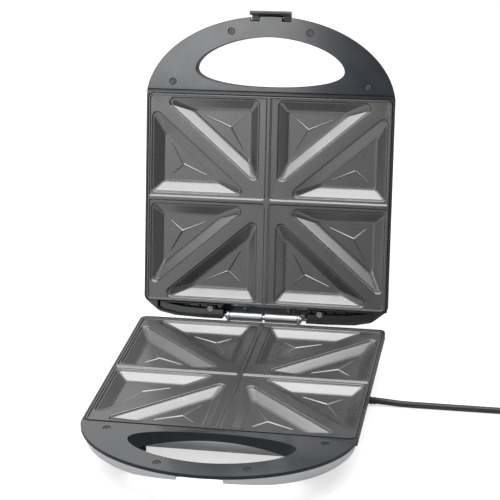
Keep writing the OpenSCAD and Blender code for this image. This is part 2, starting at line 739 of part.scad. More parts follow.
// Loop under the pockets with both ends out to the back
module heater_half() translate([0, 0, -heater_z]) both_sides() {
    x = heater_w;
    y = heater_d;
    b = heater_bend;
    tail = heater_tail;
    tube([0, -y], [x - b, -y]);
    bend([x - b, -y + b], 270, 90);
    tube([x, -y + b], [x, y - b]);
    bend([x - b, y - b], 0, 90);
    tube([tail + b, y], [x - b, y]);
    bend([tail + b, y + b], 180, 90);
    tube([tail, y + b], [tail, heater_end]);
    translate([tail, heater_end, 0]) rotate([-90, 0, 0]) cylinder(h = 6, r = 1.4, $fn = 24);
}

module lower_heater() color("gray") in_base() heater_half();
module upper_heater() color("gray") as_upper() heater_half();

module reflector_half() {
    x = plate_x - 22;
    y = plate_y - 20;
    difference() {
        layer(pan_top - 4, pan_under) rounded_rect(x, y, 10);
        layer(pan_top - 5, pan_top) rounded_rect(x - pan_t, y - pan_t, 10 - pan_t);
        both_bosses() drop(0, table, screw_r + fit);
        // notches of the heater's ends
        both_sides() translate([heater_tail - 5, y - 3, -pan_top]) cube([10, 6, 8]);
    }
}

module lower_reflector() color("lightgray") in_base() reflector_half();
module upper_reflector() color("lightgray") as_upper() reflector_half();

// ---- screws -------------------------------------------------------------------------------------

// Pan-head screw that points up from its seat, with a cross recess
module screw(length, head = head_r) {
    difference() {
        translate([0, 0, -head_h]) cylinder(h = head_h, r = head, $fn = 32);
        for (a = [0, 90]) rotate([0, 0, a]) translate([-1.7, -0.35, -head_h - 1]) cube([3.4, 0.7, 2]);
    }
    translate([0, 0, -eps]) cylinder(h = length + eps, r = screw_r, $fn = 32);
}

module handle_screws_half() both_sides() for (p = handle_screw_at)
    translate([p[0], p[1], -handle_seat]) mirror([0, 0, 1]) screw(handle_under(p[0]) - 2.4 - handle_seat);

module plate_screws_half() quarters() translate([plate_screw_at[0], plate_screw_at[1], -lug_top - lug_t])
    screw(3.7, boss_r + 0.6);

boss_hole = 9.5;                // depth of the screw holes in the plate's bosses
module reflector_screws_half() pan_bosses() translate([0, 0, -pan_under]) screw(boss_hole + pan_t - 2);

housing_screw_seat = pan_under + 3.6;
rear_screw_y = plate_y + 6.5;
rear_screw_seat = 5;
rear_screw_hold = 8;            // how far a rear screw reaches into its tower
leaf_screw_hold = 8;            // how far a hinge screw reaches into its block

module lower_handle_screws() color("#303236") in_base() handle_screws_half();
module upper_handle_screws() color("#303236") as_upper() handle_screws_half();
module lower_plate_screws() color("silver") in_base() plate_screws_half();
module upper_plate_screws() color("silver") as_upper() plate_screws_half();
module lower_reflector_screws() color("silver") in_base() reflector_screws_half();
module upper_reflector_screws() color("silver") as_upper() reflector_screws_half();
module housing_screws() color("silver") in_base() long_bosses()
    translate([0, 0, -housing_screw_seat]) screw(housing_screw_seat - pan_top + boss_hole - 2);
module upper_rear_screws() color("silver") as_upper() both_sides()
    translate([rear_screw_x, rear_screw_y, -rear_screw_seat]) mirror([0, 0, 1])
    screw(recess_floor + rear_screw_hold - rear_screw_seat);
module lower_hinge_screws() color("silver") in_base() both_sides()
    translate([hinge_screw_x, hinge_seat + leaf_t, -hinge_screw_z]) rotate([90, 0, 0]) screw(leaf_screw_hold);
module upper_hinge_screws() color("silver") in_lid() both_sides()
    translate([hinge_screw_x, leaf_y, upper_screw_z]) rotate([-90, 0, 0]) screw(leaf_screw_hold - 3);

// ---- feet, electrics and indicators ---------------------------------------------------------------

module feet() color("#26272a") in_base() quarters() translate(foot_at) {
    drop(housing_h, table, foot_r);
    drop(housing_h - 1.2 + touch, housing_h + eps, foot_r - 2);
}

module thermostat() color("#d8d2c4") in_base() {
    drop(flange_under + touch, flange_under + 8, 8);
    for (x = [-5, 3.4]) translate([x, -0.4, -pan_top + 1]) cube([1.6, 6.3, pan_top - flange_under - 8.8]);
}

module thermal_fuse() color("#e8e4d8") in_base() translate([-30, 22, -pan_under - 2.8]) rotate([0, 90, 0]) {
    cylinder(h = 46, r = 2.5, $fn = 24);
    translate([0, 0, -8]) cylinder(h = 62, r = 0.6, $fn = 24);
}

terminal_h = 8;

module terminal_block() color("#e9e9e2") in_base()
    translate([body_x - 59, outlet_y - 15, -cavity_floor + touch]) difference() {
        cube([17, 30, terminal_h]);
        for (y = [5, 15, 25]) translate([8.5, y, 0]) {
            translate([0, 0, 2]) cylinder(h = terminal_h, r = 2, $fn = 24);
            translate([-10, 0, terminal_h / 2]) rotate([0, 90, 0]) cylinder(h = 30, r = 1.2, $fn = 24);
        }
    }

module power_lens() color("#c02018") as_upper() translate([-lens_at[0], lens_at[1]]) {
    drop(cavity_floor - 2, housing_h + 0.2, lens_r);
    drop(housing_h + 0.2 - eps, housing_h + 1, lens_r - 0.7);
}

module ready_lens() color("#1f8a35") as_upper() translate(lens_at) {
    drop(cavity_floor - 2, housing_h + 0.2, lens_r);
    drop(housing_h + 0.2 - eps, housing_h + 1, lens_r - 0.7);
}

module indicator_lamps() color("#f0c8a0") as_upper() both_sides() translate(lens_at)
    drop(pan_under + 0.6, cavity_floor - 2 - touch, 2.4);

// ---- cord, coil and plug: a free cord that lies on the table -----------------------------------------

cord_r = cord_d / 2;
cord_y = outlet_y + stand_y;
bushing_to = 122;

module cord_bushing() color("#1d1e20") translate([0, cord_y, table - outlet_z]) rotate([0, 90, 0]) {
    translate([0, 0, bushing_from - 12]) cylinder(h = 12 + eps, r = bushing_r - 1, $fn = 32);
    translate([0, 0, bushing_from + touch / 2]) cylinder(h = 1.6, r = bushing_r, $fn = 32);
    translate([0, 0, bushing_from]) cylinder(h = bushing_to - bushing_from, r1 = bushing_r - 0.2,
        r2 = cord_r + 0.4, $fn = 32);
}

coil_at = [284, cord_y + 35.8];
plug_x = 320;
coil_mid_r = 33;
coil_h = 2 * cord_d;

// Route of the lead out of the bushing to the coil, and of its end from the coil to the plug
lead_route = [for (p = [[0, 0, 4.6], [3, 0, 4.6], [12, 0, 4], [22, -0.2, 3.3], [34, -0.2, 3.05],
    [60, -0.2, 3.05], [90, -0.2, 3.05], [114, -0.2, 3.05], [140, -0.2, 3.05]])
    p + [bushing_to, cord_y, 0]];
end_route = [for (p = [[0, 8, 9.3], [0, 15, 10.6], [0, 22, 12.8], [0, 30, 15.6], [0, 38, 17.6],
    [0, 43, 18.2], [0, 46, 18.2]]) p + [plug_x, coil_at[1], 0]];
plug_at = end_route[6];

// Rings of points about a route, and the tube that they carry
function heading(points, i) =
    let (a = points[max(i - 1, 0)], b = points[min(i + 1, len(points) - 1)], d = b - a) d / norm(d);
function ring_points(p, way, r, sides) =
    let (side = cross(way, [0, 0, 1]), out = side / norm(side), up = cross(out, way))
    [for (k = [0:sides - 1]) let (t = k * 360 / sides) p + r * (cos(t) * out + sin(t) * up)];

module swept_tube(points, r, sides) {
    n = len(points);
    rings = [for (i = [0:n - 1]) each ring_points(points[i], heading(points, i), r, sides)];
    walls = [for (i = [0:n - 2], k = [0:sides - 1]) let (m = (k + 1) % sides)
        [i * sides + k, i * sides + m, (i + 1) * sides + m, (i + 1) * sides + k]];
    start = [for (k = [sides - 1:-1:0]) k];
    finish = [for (k = [0:sides - 1]) (n - 1) * sides + k];
    polyhedron(points = rings, faces = concat([start], walls, [finish]), convexity = 4);
}

module power_cord() color("#17181a") {
    swept_tube(lead_route, cord_r, 10);
    swept_tube(end_route, cord_r, 10);
}

module cord_coil() color("#17181a") translate([coil_at[0], coil_at[1], 0.05])
    rotate_extrude($fn = 72) translate([coil_mid_r - cord_d, 0]) square([2 * cord_d, coil_h]);

// Plug with a tapered sleeve, a grip and a round face
module plug_body() color("#17181a") translate(plug_at) rotate([-90, 0, 0]) rotate_extrude($fn = 64)
    polygon([[0, 0], [cord_r + 0.8, 0], [cord_r + 2.6, 22], [plug_r - 6, 27], [plug_r - 3.5, 32],
             [plug_r - 3.5, 40], [plug_r, 44], [plug_r, 56], [plug_r - 1, 57], [0, 57]]);

module plug_pins() color("silver") translate(plug_at) for (x = [-9.5, 9.5])
    translate([x, 57, 0]) rotate([-90, 0, 0]) {
        cylinder(h = 17.6, r = 2.4, $fn = 32);
        translate([0, 0, 17.6 - eps]) cylinder(h = 1.4, r1 = 2.4, r2 = 1.4, $fn = 32);
    }

lower_housing();
lower_frame();
lower_plate();
lower_heater();
lower_reflector();
lower_handle_screws();
lower_plate_screws();
lower_reflector_screws();
housing_screws();
feet();
lower_hinge();
hinge_pin();
lower_hinge_screws();
thermostat();
thermal_fuse();
terminal_block();
cord_bushing();
power_cord();
cord_coil();
plug_body();
plug_pins();
upper_housing();
upper_frame();
upper_plate();
upper_heater();
upper_reflector();
upper_handle_screws();
upper_plate_screws();
upper_reflector_screws();
upper_rear_screws();
upper_hinge();
upper_hinge_screws();
power_lens();
ready_lens();
indicator_lamps();
latch();
latch_pin();
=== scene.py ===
# %% [markdown]
# # A four-slice sandwich toaster
# This script dresses a toaster whose solid pieces already exist. Each solid piece comes in with its
# own name and its true place, in metres, so nothing has to be fitted. We add finishes, soften what
# the moulds would soften, and make the few things that are easier to draw here, such as the cord.
# The first step loads the pieces and notes the size of the whole object.

# %% Load the solid pieces
import json
import math

import bmesh
import bpy
from mathutils import Matrix, Vector
from mathutils.geometry import delaunay_2d_cdt


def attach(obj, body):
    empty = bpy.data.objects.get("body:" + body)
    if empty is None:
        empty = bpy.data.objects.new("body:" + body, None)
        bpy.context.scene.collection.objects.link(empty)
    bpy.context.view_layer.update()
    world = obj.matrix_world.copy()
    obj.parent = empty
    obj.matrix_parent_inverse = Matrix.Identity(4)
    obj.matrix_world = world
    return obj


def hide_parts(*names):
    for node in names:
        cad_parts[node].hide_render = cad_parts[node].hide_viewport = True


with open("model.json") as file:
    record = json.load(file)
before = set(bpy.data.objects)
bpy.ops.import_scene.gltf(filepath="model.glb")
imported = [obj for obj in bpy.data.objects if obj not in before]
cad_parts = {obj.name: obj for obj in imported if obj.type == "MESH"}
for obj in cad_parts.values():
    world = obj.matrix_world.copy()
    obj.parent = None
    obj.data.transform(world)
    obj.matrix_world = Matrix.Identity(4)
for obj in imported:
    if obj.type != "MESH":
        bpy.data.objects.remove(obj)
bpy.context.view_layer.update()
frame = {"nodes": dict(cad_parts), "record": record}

# %% [markdown]
# ## The camera
# The camera looks down on the toaster from in front, a little to the right. Its long lens keeps
# parallel edges nearly parallel. It could be aimed with a constraint, but we place it by its
# position and three angles and build its matrix from them, because that states the view exactly.

# %% Place the camera
CAMERA_PLACE = Vector((0.27745, -1.27629, 0.73056))
CAMERA_TURN = math.radians(11.831)
CAMERA_DIP = math.radians(23.67)
CAMERA_ROLL = math.radians(-1.897)
CAMERA_LENS, SENSOR_WIDTH = 114.04, 36.0

camera_data = bpy.data.cameras.new("studio_camera")
camera_data.sensor_width = SENSOR_WIDTH
camera_data.lens = CAMERA_LENS
camera = bpy.data.objects.new("studio_camera", camera_data)
bpy.context.scene.collection.objects.link(camera)

ahead = Vector((-math.sin(CAMERA_TURN) * math.cos(CAMERA_DIP),
                math.cos(CAMERA_TURN) * math.cos(CAMERA_DIP), -math.sin(CAMERA_DIP)))
level_right = Vector((math.cos(CAMERA_TURN), math.sin(CAMERA_TURN), 0.0))
level_up = level_right.cross(ahead)
right = level_right * math.cos(CAMERA_ROLL) + level_up * math.sin(CAMERA_ROLL)
up = level_up * math.cos(CAMERA_ROLL) - level_right * math.sin(CAMERA_ROLL)
turn = Matrix((right, up, -ahead)).transposed()
camera.matrix_world = Matrix.Translation(CAMERA_PLACE) @ turn.to_4x4()
bpy.context.scene.camera = camera
print("lens:", camera_data.lens, "mm")

# %% [markdown]
# ## Small helpers
# Every new piece is a mesh whose vertices already stand in the right place, so its object stays at
# the origin. Geometry Nodes trees are built in the script, given named inputs, evaluated once, and
# turned into a plain mesh, because the finished model should not depend on a live modifier.

# %% Helpers for meshes and node trees
def put_in_scene(name, mesh):
    piece = bpy.data.objects.new(name, mesh)
    bpy.context.scene.collection.objects.link(piece)
    return piece


def smooth_all(mesh, angle=None):
    mesh.polygons.foreach_set("use_smooth", [True] * len(mesh.polygons))
    if angle is not None:
        mesh.set_sharp_from_angle(angle=math.radians(angle))


WHOLE_NUMBERS = ("Sides", "Count")


def node_tree(name, *labels):
    """A Geometry Nodes tree with a geometry, some named numbers and a finish as its inputs."""
    tree = bpy.data.node_groups.new(name, "GeometryNodeTree")
    tree.interface.new_socket("Geometry", in_out="INPUT", socket_type="NodeSocketGeometry")
    for label in labels:
        kind = "NodeSocketInt" if label in WHOLE_NUMBERS else "NodeSocketFloat"
        tree.interface.new_socket(label, in_out="INPUT", socket_type=kind)
    tree.interface.new_socket("Finish", in_out="INPUT", socket_type="NodeSocketMaterial")
    tree.interface.new_socket("Geometry", in_out="OUTPUT", socket_type="NodeSocketGeometry")
    return tree, add(tree, "NodeGroupInput")


def close_tree(tree, given, made):
    """Every tree ends alike: real geometry instead of instances, with its finish set."""
    real = add(tree, "GeometryNodeRealizeInstances")
    paint = add(tree, "GeometryNodeSetMaterial")
    result = add(tree, "NodeGroupOutput")
    tree.links.new(made, real.inputs["Geometry"])
    tree.links.new(real.outputs["Geometry"], paint.inputs["Geometry"])
    tree.links.new(given.outputs["Finish"], paint.inputs["Material"])
    tree.links.new(paint.outputs["Geometry"], result.inputs["Geometry"])
    return tree


def add(tree, kind, **settings):
    node = tree.nodes.new(kind)
    for key, value in settings.items():
        setattr(node, key, value)
    return node


def bake(piece, tree, inputs):
    """Runs the tree on a piece with these inputs and keeps the result as its plain mesh."""
    modifier = piece.modifiers.new(tree.name, "NODES")
    modifier.node_group = tree
    for item in tree.interface.items_tree:
        if item.in_out == "INPUT" and item.name in inputs:
            modifier[item.identifier] = inputs[item.name]
    ready = piece.evaluated_get(bpy.context.evaluated_depsgraph_get())
    mesh = bpy.data.meshes.new_from_object(ready)
    piece.modifiers.remove(modifier)
    made = put_in_scene(piece.name + "_made", mesh)
    name = piece.name
    bpy.data.objects.remove(piece)
    made.name = name
    return made


print("mesh and node helpers ready")

# %% [markdown]
# A solid piece arrives as loose triangles. To round its edges we weld it, dissolve the seams inside
# its flat faces, and bevel the edges that are sharper than a given angle. Weighted normals then
# keep the flat faces flat in the shading, next to their narrow rounded edges.

# %% Helpers that weld, soften and shade
WELD_DISTANCE = 2e-6
FLAT_WITHIN = math.radians(0.3)
SHADE_MARGIN = 5                # degrees between the least rounded edge and the least hard one


def merged(mesh):
    """Welds a mesh's loose triangles and dissolves the seams inside its flat faces."""
    shape = bmesh.new()
    shape.from_mesh(mesh)
    bmesh.ops.remove_doubles(shape, verts=shape.verts, dist=WELD_DISTANCE)
    bmesh.ops.dissolve_limit(shape, angle_limit=FLAT_WITHIN, verts=shape.verts, edges=shape.edges)
    return shape


def even_normals(piece, angle):
    """Smooth shading up to an angle, with the big faces keeping their own direction."""
    smooth_all(piece.data, angle)
    even = piece.modifiers.new("even_normals", "WEIGHTED_NORMAL")
    even.keep_sharp = True
    even.weight = 80
    return settled(piece)


def settled(piece):
    """Turns a piece with modifiers into the plain mesh that they make."""
    ready = piece.evaluated_get(bpy.context.evaluated_depsgraph_get())
    mesh = bpy.data.meshes.new_from_object(ready)
    name = piece.name
    bpy.data.objects.remove(piece)
    return put_in_scene(name, mesh)


def softened(node, name, radius, sharp):
    """A welded copy of a solid piece with its sharp edges rounded to a small radius."""
    shape = merged(frame["nodes"][node].data)
    edges = [e for e in shape.edges if e.is_manifold and e.calc_face_angle() > math.radians(sharp)]
    bmesh.ops.bevel(shape, geom=edges, offset=radius, offset_type="OFFSET", segments=2,
                    profile=0.5, affect="EDGES", clamp_overlap=False)
    mesh = bpy.data.meshes.new(name)
    shape.to_mesh(mesh)
    shape.free()
    return even_normals(put_in_scene(name, mesh), sharp - SHADE_MARGIN)


print("softening helpers ready")

# %% [markdown]
# ## Finishes
# A finish is more than a colour. Moulded plastic has a fine grain and is a little uneven in gloss,
# a non-stick coating is satin with a fine speckle, and plated steel keeps the marks of its rolling.
# Each finish below is one function that builds a node material. Patterns read Object coordinates,
# so they stay put on the piece and keep their scale in metres.

# %% A starting point for every finish
def finish(name, colour, roughness, metallic=0.0, **shader):
    material = bpy.data.materials.new(name)
    material.use_nodes = True
    surface = material.node_tree.nodes["Principled BSDF"]
    surface.inputs["Base Color"].default_value = (*colour, 1.0)
    surface.inputs["Roughness"].default_value = roughness
    surface.inputs["Metallic"].default_value = metallic
    for label, value in shader.items():
        surface.inputs[label.replace("_", " ")].default_value = value
    return material, material.node_tree, surface


def noise(tree, scale, detail=3.0, stretch=None):
    """Noise that is fixed to the piece; stretch draws it out along an axis."""
    where = tree.nodes.new("ShaderNodeTexCoord")
    source = where.outputs["Object"]
    if stretch:
        mapping = tree.nodes.new("ShaderNodeMapping")
        mapping.inputs["Scale"].default_value = stretch
        tree.links.new(source, mapping.inputs["Vector"])
        source = mapping.outputs["Vector"]
    grain = tree.nodes.new("ShaderNodeTexNoise")
    grain.inputs["Scale"].default_value = scale
    grain.inputs["Detail"].default_value = detail
    tree.links.new(source, grain.inputs["Vector"])
    return grain.outputs["Fac"]


def spread(tree, value, low, high):
    """Turns a noise value into a range of numbers."""
    span = tree.nodes.new("ShaderNodeMapRange")
    span.inputs["From Min"].default_value = 0.3
    span.inputs["From Max"].default_value = 0.7
    span.inputs["To Min"].default_value = low
    span.inputs["To Max"].default_value = high
    tree.links.new(value, span.inputs["Value"])
    return span.outputs["Result"]


def between(tree, value, dark, light):
    """A colour between two, chosen by a noise value."""
    ramp = tree.nodes.new("ShaderNodeValToRGB")
    ramp.color_ramp.elements[0].position = 0.35
    ramp.color_ramp.elements[1].position = 0.65
    ramp.color_ramp.elements[0].color = (*dark, 1.0)
    ramp.color_ramp.elements[1].color = (*light, 1.0)
    tree.links.new(value, ramp.inputs["Fac"])
    return ramp.outputs["Color"]


def bump(tree, surface, value, height, strength=0.3):
    relief = tree.nodes.new("ShaderNodeBump")
    relief.inputs["Distance"].default_value = height
    relief.inputs["Strength"].default_value = strength
    tree.links.new(value, relief.inputs["Height"])
    tree.links.new(relief.outputs["Normal"], surface.inputs["Normal"])


print("finish helpers ready")

# %% [markdown]
# The housings are silver plastic with fine flakes under a lacquer. A flat grey would look like
# paint, so a fine noise mixes a darker and a lighter silver, and a thin coat adds the sheen.

# %% Silver moulding: lacquered plastic with fine flakes
def silver_moulding():
    material, tree, surface = finish("silver_moulding", (0.46, 0.47, 0.49), 0.33, 0.7,
                                     Coat_Weight=0.3, Coat_Roughness=0.12)
    flakes = noise(tree, 2600.0, 2.0)
    tree.links.new(between(tree, flakes, (0.40, 0.41, 0.43), (0.52, 0.53, 0.55)),
                   surface.inputs["Base Color"])
    tree.links.new(spread(tree, noise(tree, 35.0), 0.30, 0.38), surface.inputs["Roughness"])
    bump(tree, surface, noise(tree, 900.0), 0.00002, 0.25)
    return material


print("silver moulding ready")

# %% [markdown]
# The handle frames are nearly black and glossy. A real moulding is never a perfect mirror, so its
# gloss varies a little and a faint wave bends what it mirrors. A coat over the plastic does the
# rest.

# %% Glossy dark moulding of the handle frames
def gloss_dark():
    material, tree, surface = finish("gloss_dark", (0.010, 0.014, 0.019), 0.16, 0.0, IOR=1.62,
                                     Coat_Weight=0.8, Coat_Roughness=0.11, Coat_IOR=1.6)
    tree.links.new(between(tree, noise(tree, 18.0), (0.008, 0.012, 0.017), (0.013, 0.018, 0.024)),
                   surface.inputs["Base Color"])
    tree.links.new(spread(tree, noise(tree, 60.0), 0.13, 0.19), surface.inputs["Roughness"])
    bump(tree, surface, noise(tree, 140.0, 1.0), 0.00003, 0.12)
    return material


print("gloss ready")

# %% [markdown]
# The same frames are dull along their sides, and darker there: that darker colour is painted shade
# for the seam between cover and housing. A mask could blend the two in one material, but a
# second material on those faces is simpler and ends exactly at an edge.

# %% Dull edge of the handle frames, darker with painted shade for the seam
def painted_shade_edge():
    # The darker base colour is painted shade for the seam between cover and housing.
    material, tree, surface = finish("painted_shade_edge", (0.006, 0.007, 0.009), 0.5, 0.0, IOR=1.4)
    tree.links.new(between(tree, noise(tree, 300.0), (0.005, 0.006, 0.008), (0.008, 0.009, 0.011)),
                   surface.inputs["Base Color"])
    tree.links.new(spread(tree, noise(tree, 90.0), 0.44, 0.56), surface.inputs["Roughness"])
    bump(tree, surface, noise(tree, 800.0), 0.00002, 0.2)
    return material


print("dull edge ready")

# %% [markdown]
# The coating of the plates is nearly black and satin, with a fine speckle. It mirrors more light
# than bare plastic does, and its index of refraction is what sets that.

# %% Non-stick coating of the baking plates
def non_stick():
    material, tree, surface = finish("non_stick", (0.011, 0.0115, 0.013), 0.28, 0.0, IOR=2.45)
    speckle = noise(tree, 1500.0, 4.0)
    tree.links.new(between(tree, speckle, (0.009, 0.0095, 0.011), (0.014, 0.0145, 0.016)),
                   surface.inputs["Base Color"])
    tree.links.new(spread(tree, noise(tree, 45.0), 0.26, 0.31), surface.inputs["Roughness"])
    bump(tree, surface, noise(tree, 700.0, 5.0), 0.00002, 0.16)
    return material


print("coating ready")

# %% [markdown]
# A metal is seen by what it mirrors, tinted by its own colour. Rolled sheet has fine lines along
# one direction, so the noise that drives its gloss is stretched along that axis.

# %% Metals: plated hinge, plain screws, sheet, heating tube
def plated_steel():
    material, tree, surface = finish("plated_steel", (0.42, 0.43, 0.45), 0.38, 1.0)
    lines = noise(tree, 220.0, 3.0, (0.05, 1.0, 1.0))
    tree.links.new(spread(tree, lines, 0.32, 0.44), surface.inputs["Roughness"])
    tree.links.new(between(tree, noise(tree, 90.0), (0.37, 0.38, 0.40), (0.47, 0.48, 0.50)),
                   surface.inputs["Base Color"])
    bump(tree, surface, lines, 0.00002, 0.2)
    return material


def zinc_plate():
    material, tree, surface = finish("zinc_plate", (0.40, 0.41, 0.40), 0.40, 1.0)
    tree.links.new(between(tree, noise(tree, 300.0), (0.34, 0.35, 0.35), (0.46, 0.47, 0.46)),
                   surface.inputs["Base Color"])
    bump(tree, surface, noise(tree, 1200.0), 0.00002, 0.2)
    return material


def blackened_steel():
    material, tree, surface = finish("blackened_steel", (0.12, 0.12, 0.125), 0.30, 0.9)
    tree.links.new(between(tree, noise(tree, 400.0), (0.09, 0.09, 0.095), (0.16, 0.16, 0.165)),
                   surface.inputs["Base Color"])
    bump(tree, surface, noise(tree, 1500.0), 0.00002, 0.2)
    return material


def bare_aluminium():
    material, tree, surface = finish("bare_aluminium", (0.72, 0.73, 0.75), 0.34, 1.0)
    rolled = noise(tree, 160.0, 3.0, (1.0, 0.04, 1.0))
    tree.links.new(spread(tree, rolled, 0.28, 0.42), surface.inputs["Roughness"])
    bump(tree, surface, rolled, 0.00003, 0.2)
    return material


def heater_sheath():
    material, tree, surface = finish("heater_sheath", (0.30, 0.29, 0.28), 0.45, 0.9)
    tree.links.new(between(tree, noise(tree, 60.0), (0.22, 0.20, 0.19), (0.38, 0.36, 0.35)),
                   surface.inputs["Base Color"])
    bump(tree, surface, noise(tree, 800.0), 0.00003, 0.25)
    return material


def nickel_plate():
    material, tree, surface = finish("nickel_plate", (0.78, 0.75, 0.69), 0.20, 1.0)
    tree.links.new(spread(tree, noise(tree, 260.0), 0.16, 0.28), surface.inputs["Roughness"])
    bump(tree, surface, noise(tree, 900.0), 0.00001, 0.2)
    return material


print("metals ready")

# %% [markdown]
# The other mouldings differ only in colour, gloss and grain, so one function makes them all. The
# two lenses are tinted and let a little light in, and have a function of their own.

# %% Plastics and rubber: latch, feet, cord, plug, insulators, lenses
def plastic(name, dark, light, roughness, grain=700.0, height=0.00003):
    material, tree, surface = finish(name, light, roughness)
    tree.links.new(between(tree, noise(tree, grain * 0.3), dark, light),
                   surface.inputs["Base Color"])
    tree.links.new(spread(tree, noise(tree, 50.0), roughness * 0.85, roughness * 1.15),
                   surface.inputs["Roughness"])
    bump(tree, surface, noise(tree, grain), height, 0.3)
    return material


def clear_colour(name, colour):
    material, tree, surface = finish(name, colour, 0.12, 0.0, IOR=1.49, Coat_Weight=0.6,
                                     Emission_Strength=0.0)
    surface.inputs["Subsurface Weight"].default_value = 0.25
    surface.inputs["Subsurface Scale"].default_value = 0.002
    tree.links.new(spread(tree, noise(tree, 300.0), 0.08, 0.16), surface.inputs["Roughness"])
    return material


print("plastics ready")

# %% [markdown]
# The record names a finish slot for every piece. A table from slot to material keeps that choice in
# one place, and the loop that dresses the pieces reads it.

# %% One finish for each slot
FINISHES = {
    "housing": silver_moulding(),
    "frame": gloss_dark(),
    "plate": non_stick(),
    "heater": heater_sheath(),
    "reflector": bare_aluminium(),
    "dark_screw": blackened_steel(),
    "screw": zinc_plate(),
    "foot": plastic("foot_rubber", (0.018, 0.018, 0.020), (0.035, 0.035, 0.037),
                    0.65, 900.0, 0.00006),
    "hinge": plated_steel(),
    "ceramic": plastic("ceramic", (0.70, 0.67, 0.60), (0.80, 0.77, 0.71), 0.30),
    "nylon": plastic("nylon", (0.72, 0.72, 0.68), (0.82, 0.82, 0.79), 0.40),
    "cord": plastic("cord_sheath", (0.010, 0.010, 0.012), (0.020, 0.020, 0.022),
                    0.42, 1400.0, 0.00004),
    "plug": plastic("plug_moulding", (0.012, 0.012, 0.014), (0.024, 0.024, 0.026),
                    0.48, 1200.0, 0.00005),
    "pin": nickel_plate(),
    "red_lens": clear_colour("red_lens", (0.45, 0.015, 0.012)),
    "green_lens": clear_colour("green_lens", (0.02, 0.28, 0.06)),
    "lamp": plastic("lamp_glass", (0.75, 0.60, 0.42), (0.85, 0.70, 0.52), 0.12),
    "latch": plastic("latch_moulding", (0.035, 0.037, 0.042), (0.055, 0.057, 0.062),
                     0.22, 500.0, 0.00002),
}
# Painted shade: the darker finish for the sides and edges of the covers.
PAINTED_SHADE_EDGE = painted_shade_edge()
print("finishes:", len(FINISHES))

# %% [markdown]
# ## The mains cord
# The cord is 6 mm thick and about 0.7 m long. It leaves the underside on the right, runs along the
# table, and its spare length is wound into a small coil with the plug beside it. A cord is easiest
# to describe by the points that it follows. Straight stretches are written down, and the coil is
# computed from its radius, its turns and the layer it lies in.

# %% The points that the cord follows
CORD_THICKNESS = 0.006
OUTLET_Y = 0.0155
CORD_EXIT = (0.122, OUTLET_Y, 0.0046)
COIL_CENTRE = (0.284, OUTLET_Y + 0.0358)
OUTER_TURN, INNER_TURN = 0.036, 0.030
FIRST_LAYER, SECOND_LAYER = 0.00305, 0.00915

lead = [(0.1105, OUTLET_Y, 0.0046), (0.116, OUTLET_Y, 0.0046), CORD_EXIT,
        (0.125, OUTLET_Y, 0.0046), (0.134, OUTLET_Y, 0.0040), (0.144, OUTLET_Y - 0.0002, 0.0033)]
lead += [(0.156 + 0.016 * k, OUTLET_Y - 0.0002, FIRST_LAYER) for k in range(8)]
tail = [(0.320, COIL_CENTRE[1] + ahead_by, height) for ahead_by, height in
        ((0.008, 0.0095), (0.015, 0.0108), (0.022, 0.0129), (0.030, 0.0156), (0.038, 0.0176),
         (0.043, 0.0182), (0.048, 0.0182))]


def ease(value, start, end):
    share = min(max((value - start) / (end - start), 0.0), 1.0)
    return share * share * (3 - 2 * share)


def coil_point(angle):
    """A point of the coil: outer turn, inner turn, then back outside on the second layer."""
    inner_share = ease(angle, 215, 262) - ease(angle, 585, 640)
    radius = OUTER_TURN - (OUTER_TURN - INNER_TURN) * inner_share
    height = FIRST_LAYER + (SECOND_LAYER - FIRST_LAYER) * ease(angle, 495, 570)
    a = math.radians(angle)
    return (COIL_CENTRE[0] + radius * math.cos(a), COIL_CENTRE[1] + radius * math.sin(a), height)


coil = [coil_point(angle) for angle in range(-90, 721, 9)]
cord_path = [Vector(p) for p in lead + coil + tail]

# %% [markdown]
# A tube along a path repeats one thing, its round section, so Geometry Nodes suits it. The points
# become the vertices of an edge chain, the chain becomes a curve, and a circle is swept along it.

# %% A tree that sweeps a round section along a chain of points
def chain_mesh(name, points):
    mesh = bpy.data.meshes.new(name)
    mesh.from_pydata([tuple(p) for p in points], [(i, i + 1) for i in range(len(points) - 1)], [])
    return mesh


def sweep_tree():
    tree, given = node_tree("sweep_round_section", "Radius", "Sides")
    to_curve = add(tree, "GeometryNodeMeshToCurve")
    section = add(tree, "GeometryNodeCurvePrimitiveCircle")
    sweep = add(tree, "GeometryNodeCurveToMesh")
    sweep.inputs["Fill Caps"].default_value = True
    shade = add(tree, "GeometryNodeSetShadeSmooth")
    link = tree.links.new
    link(given.outputs["Geometry"], to_curve.inputs["Mesh"])
    link(given.outputs["Radius"], section.inputs["Radius"])
    link(given.outputs["Sides"], section.inputs["Resolution"])
    link(to_curve.outputs["Curve"], sweep.inputs["Curve"])
    link(section.outputs["Curve"], sweep.inputs["Profile Curve"])
    link(sweep.outputs["Mesh"], shade.inputs["Geometry"])
    return close_tree(tree, given, shade.outputs["Geometry"])


SWEEP = sweep_tree()
mains_cord = put_in_scene("mains_cord", chain_mesh("mains_cord", cord_path))
mains_cord = bake(mains_cord, SWEEP, {"Radius": CORD_THICKNESS / 2, "Sides": 20,
                                      "Finish": FINISHES["cord"]})
print("cord faces:", len(mains_cord.data.polygons))

# %% [markdown]
# ## Turned shapes: plug and strain relief
# The plug and the strain relief are round mouldings. Both are a profile spun about an axis, so one
# helper makes a lathe shape from pairs of distance and radius. Their grips repeat a rib many times,
# which is a job for instances: one rib, placed on each of a row of points.

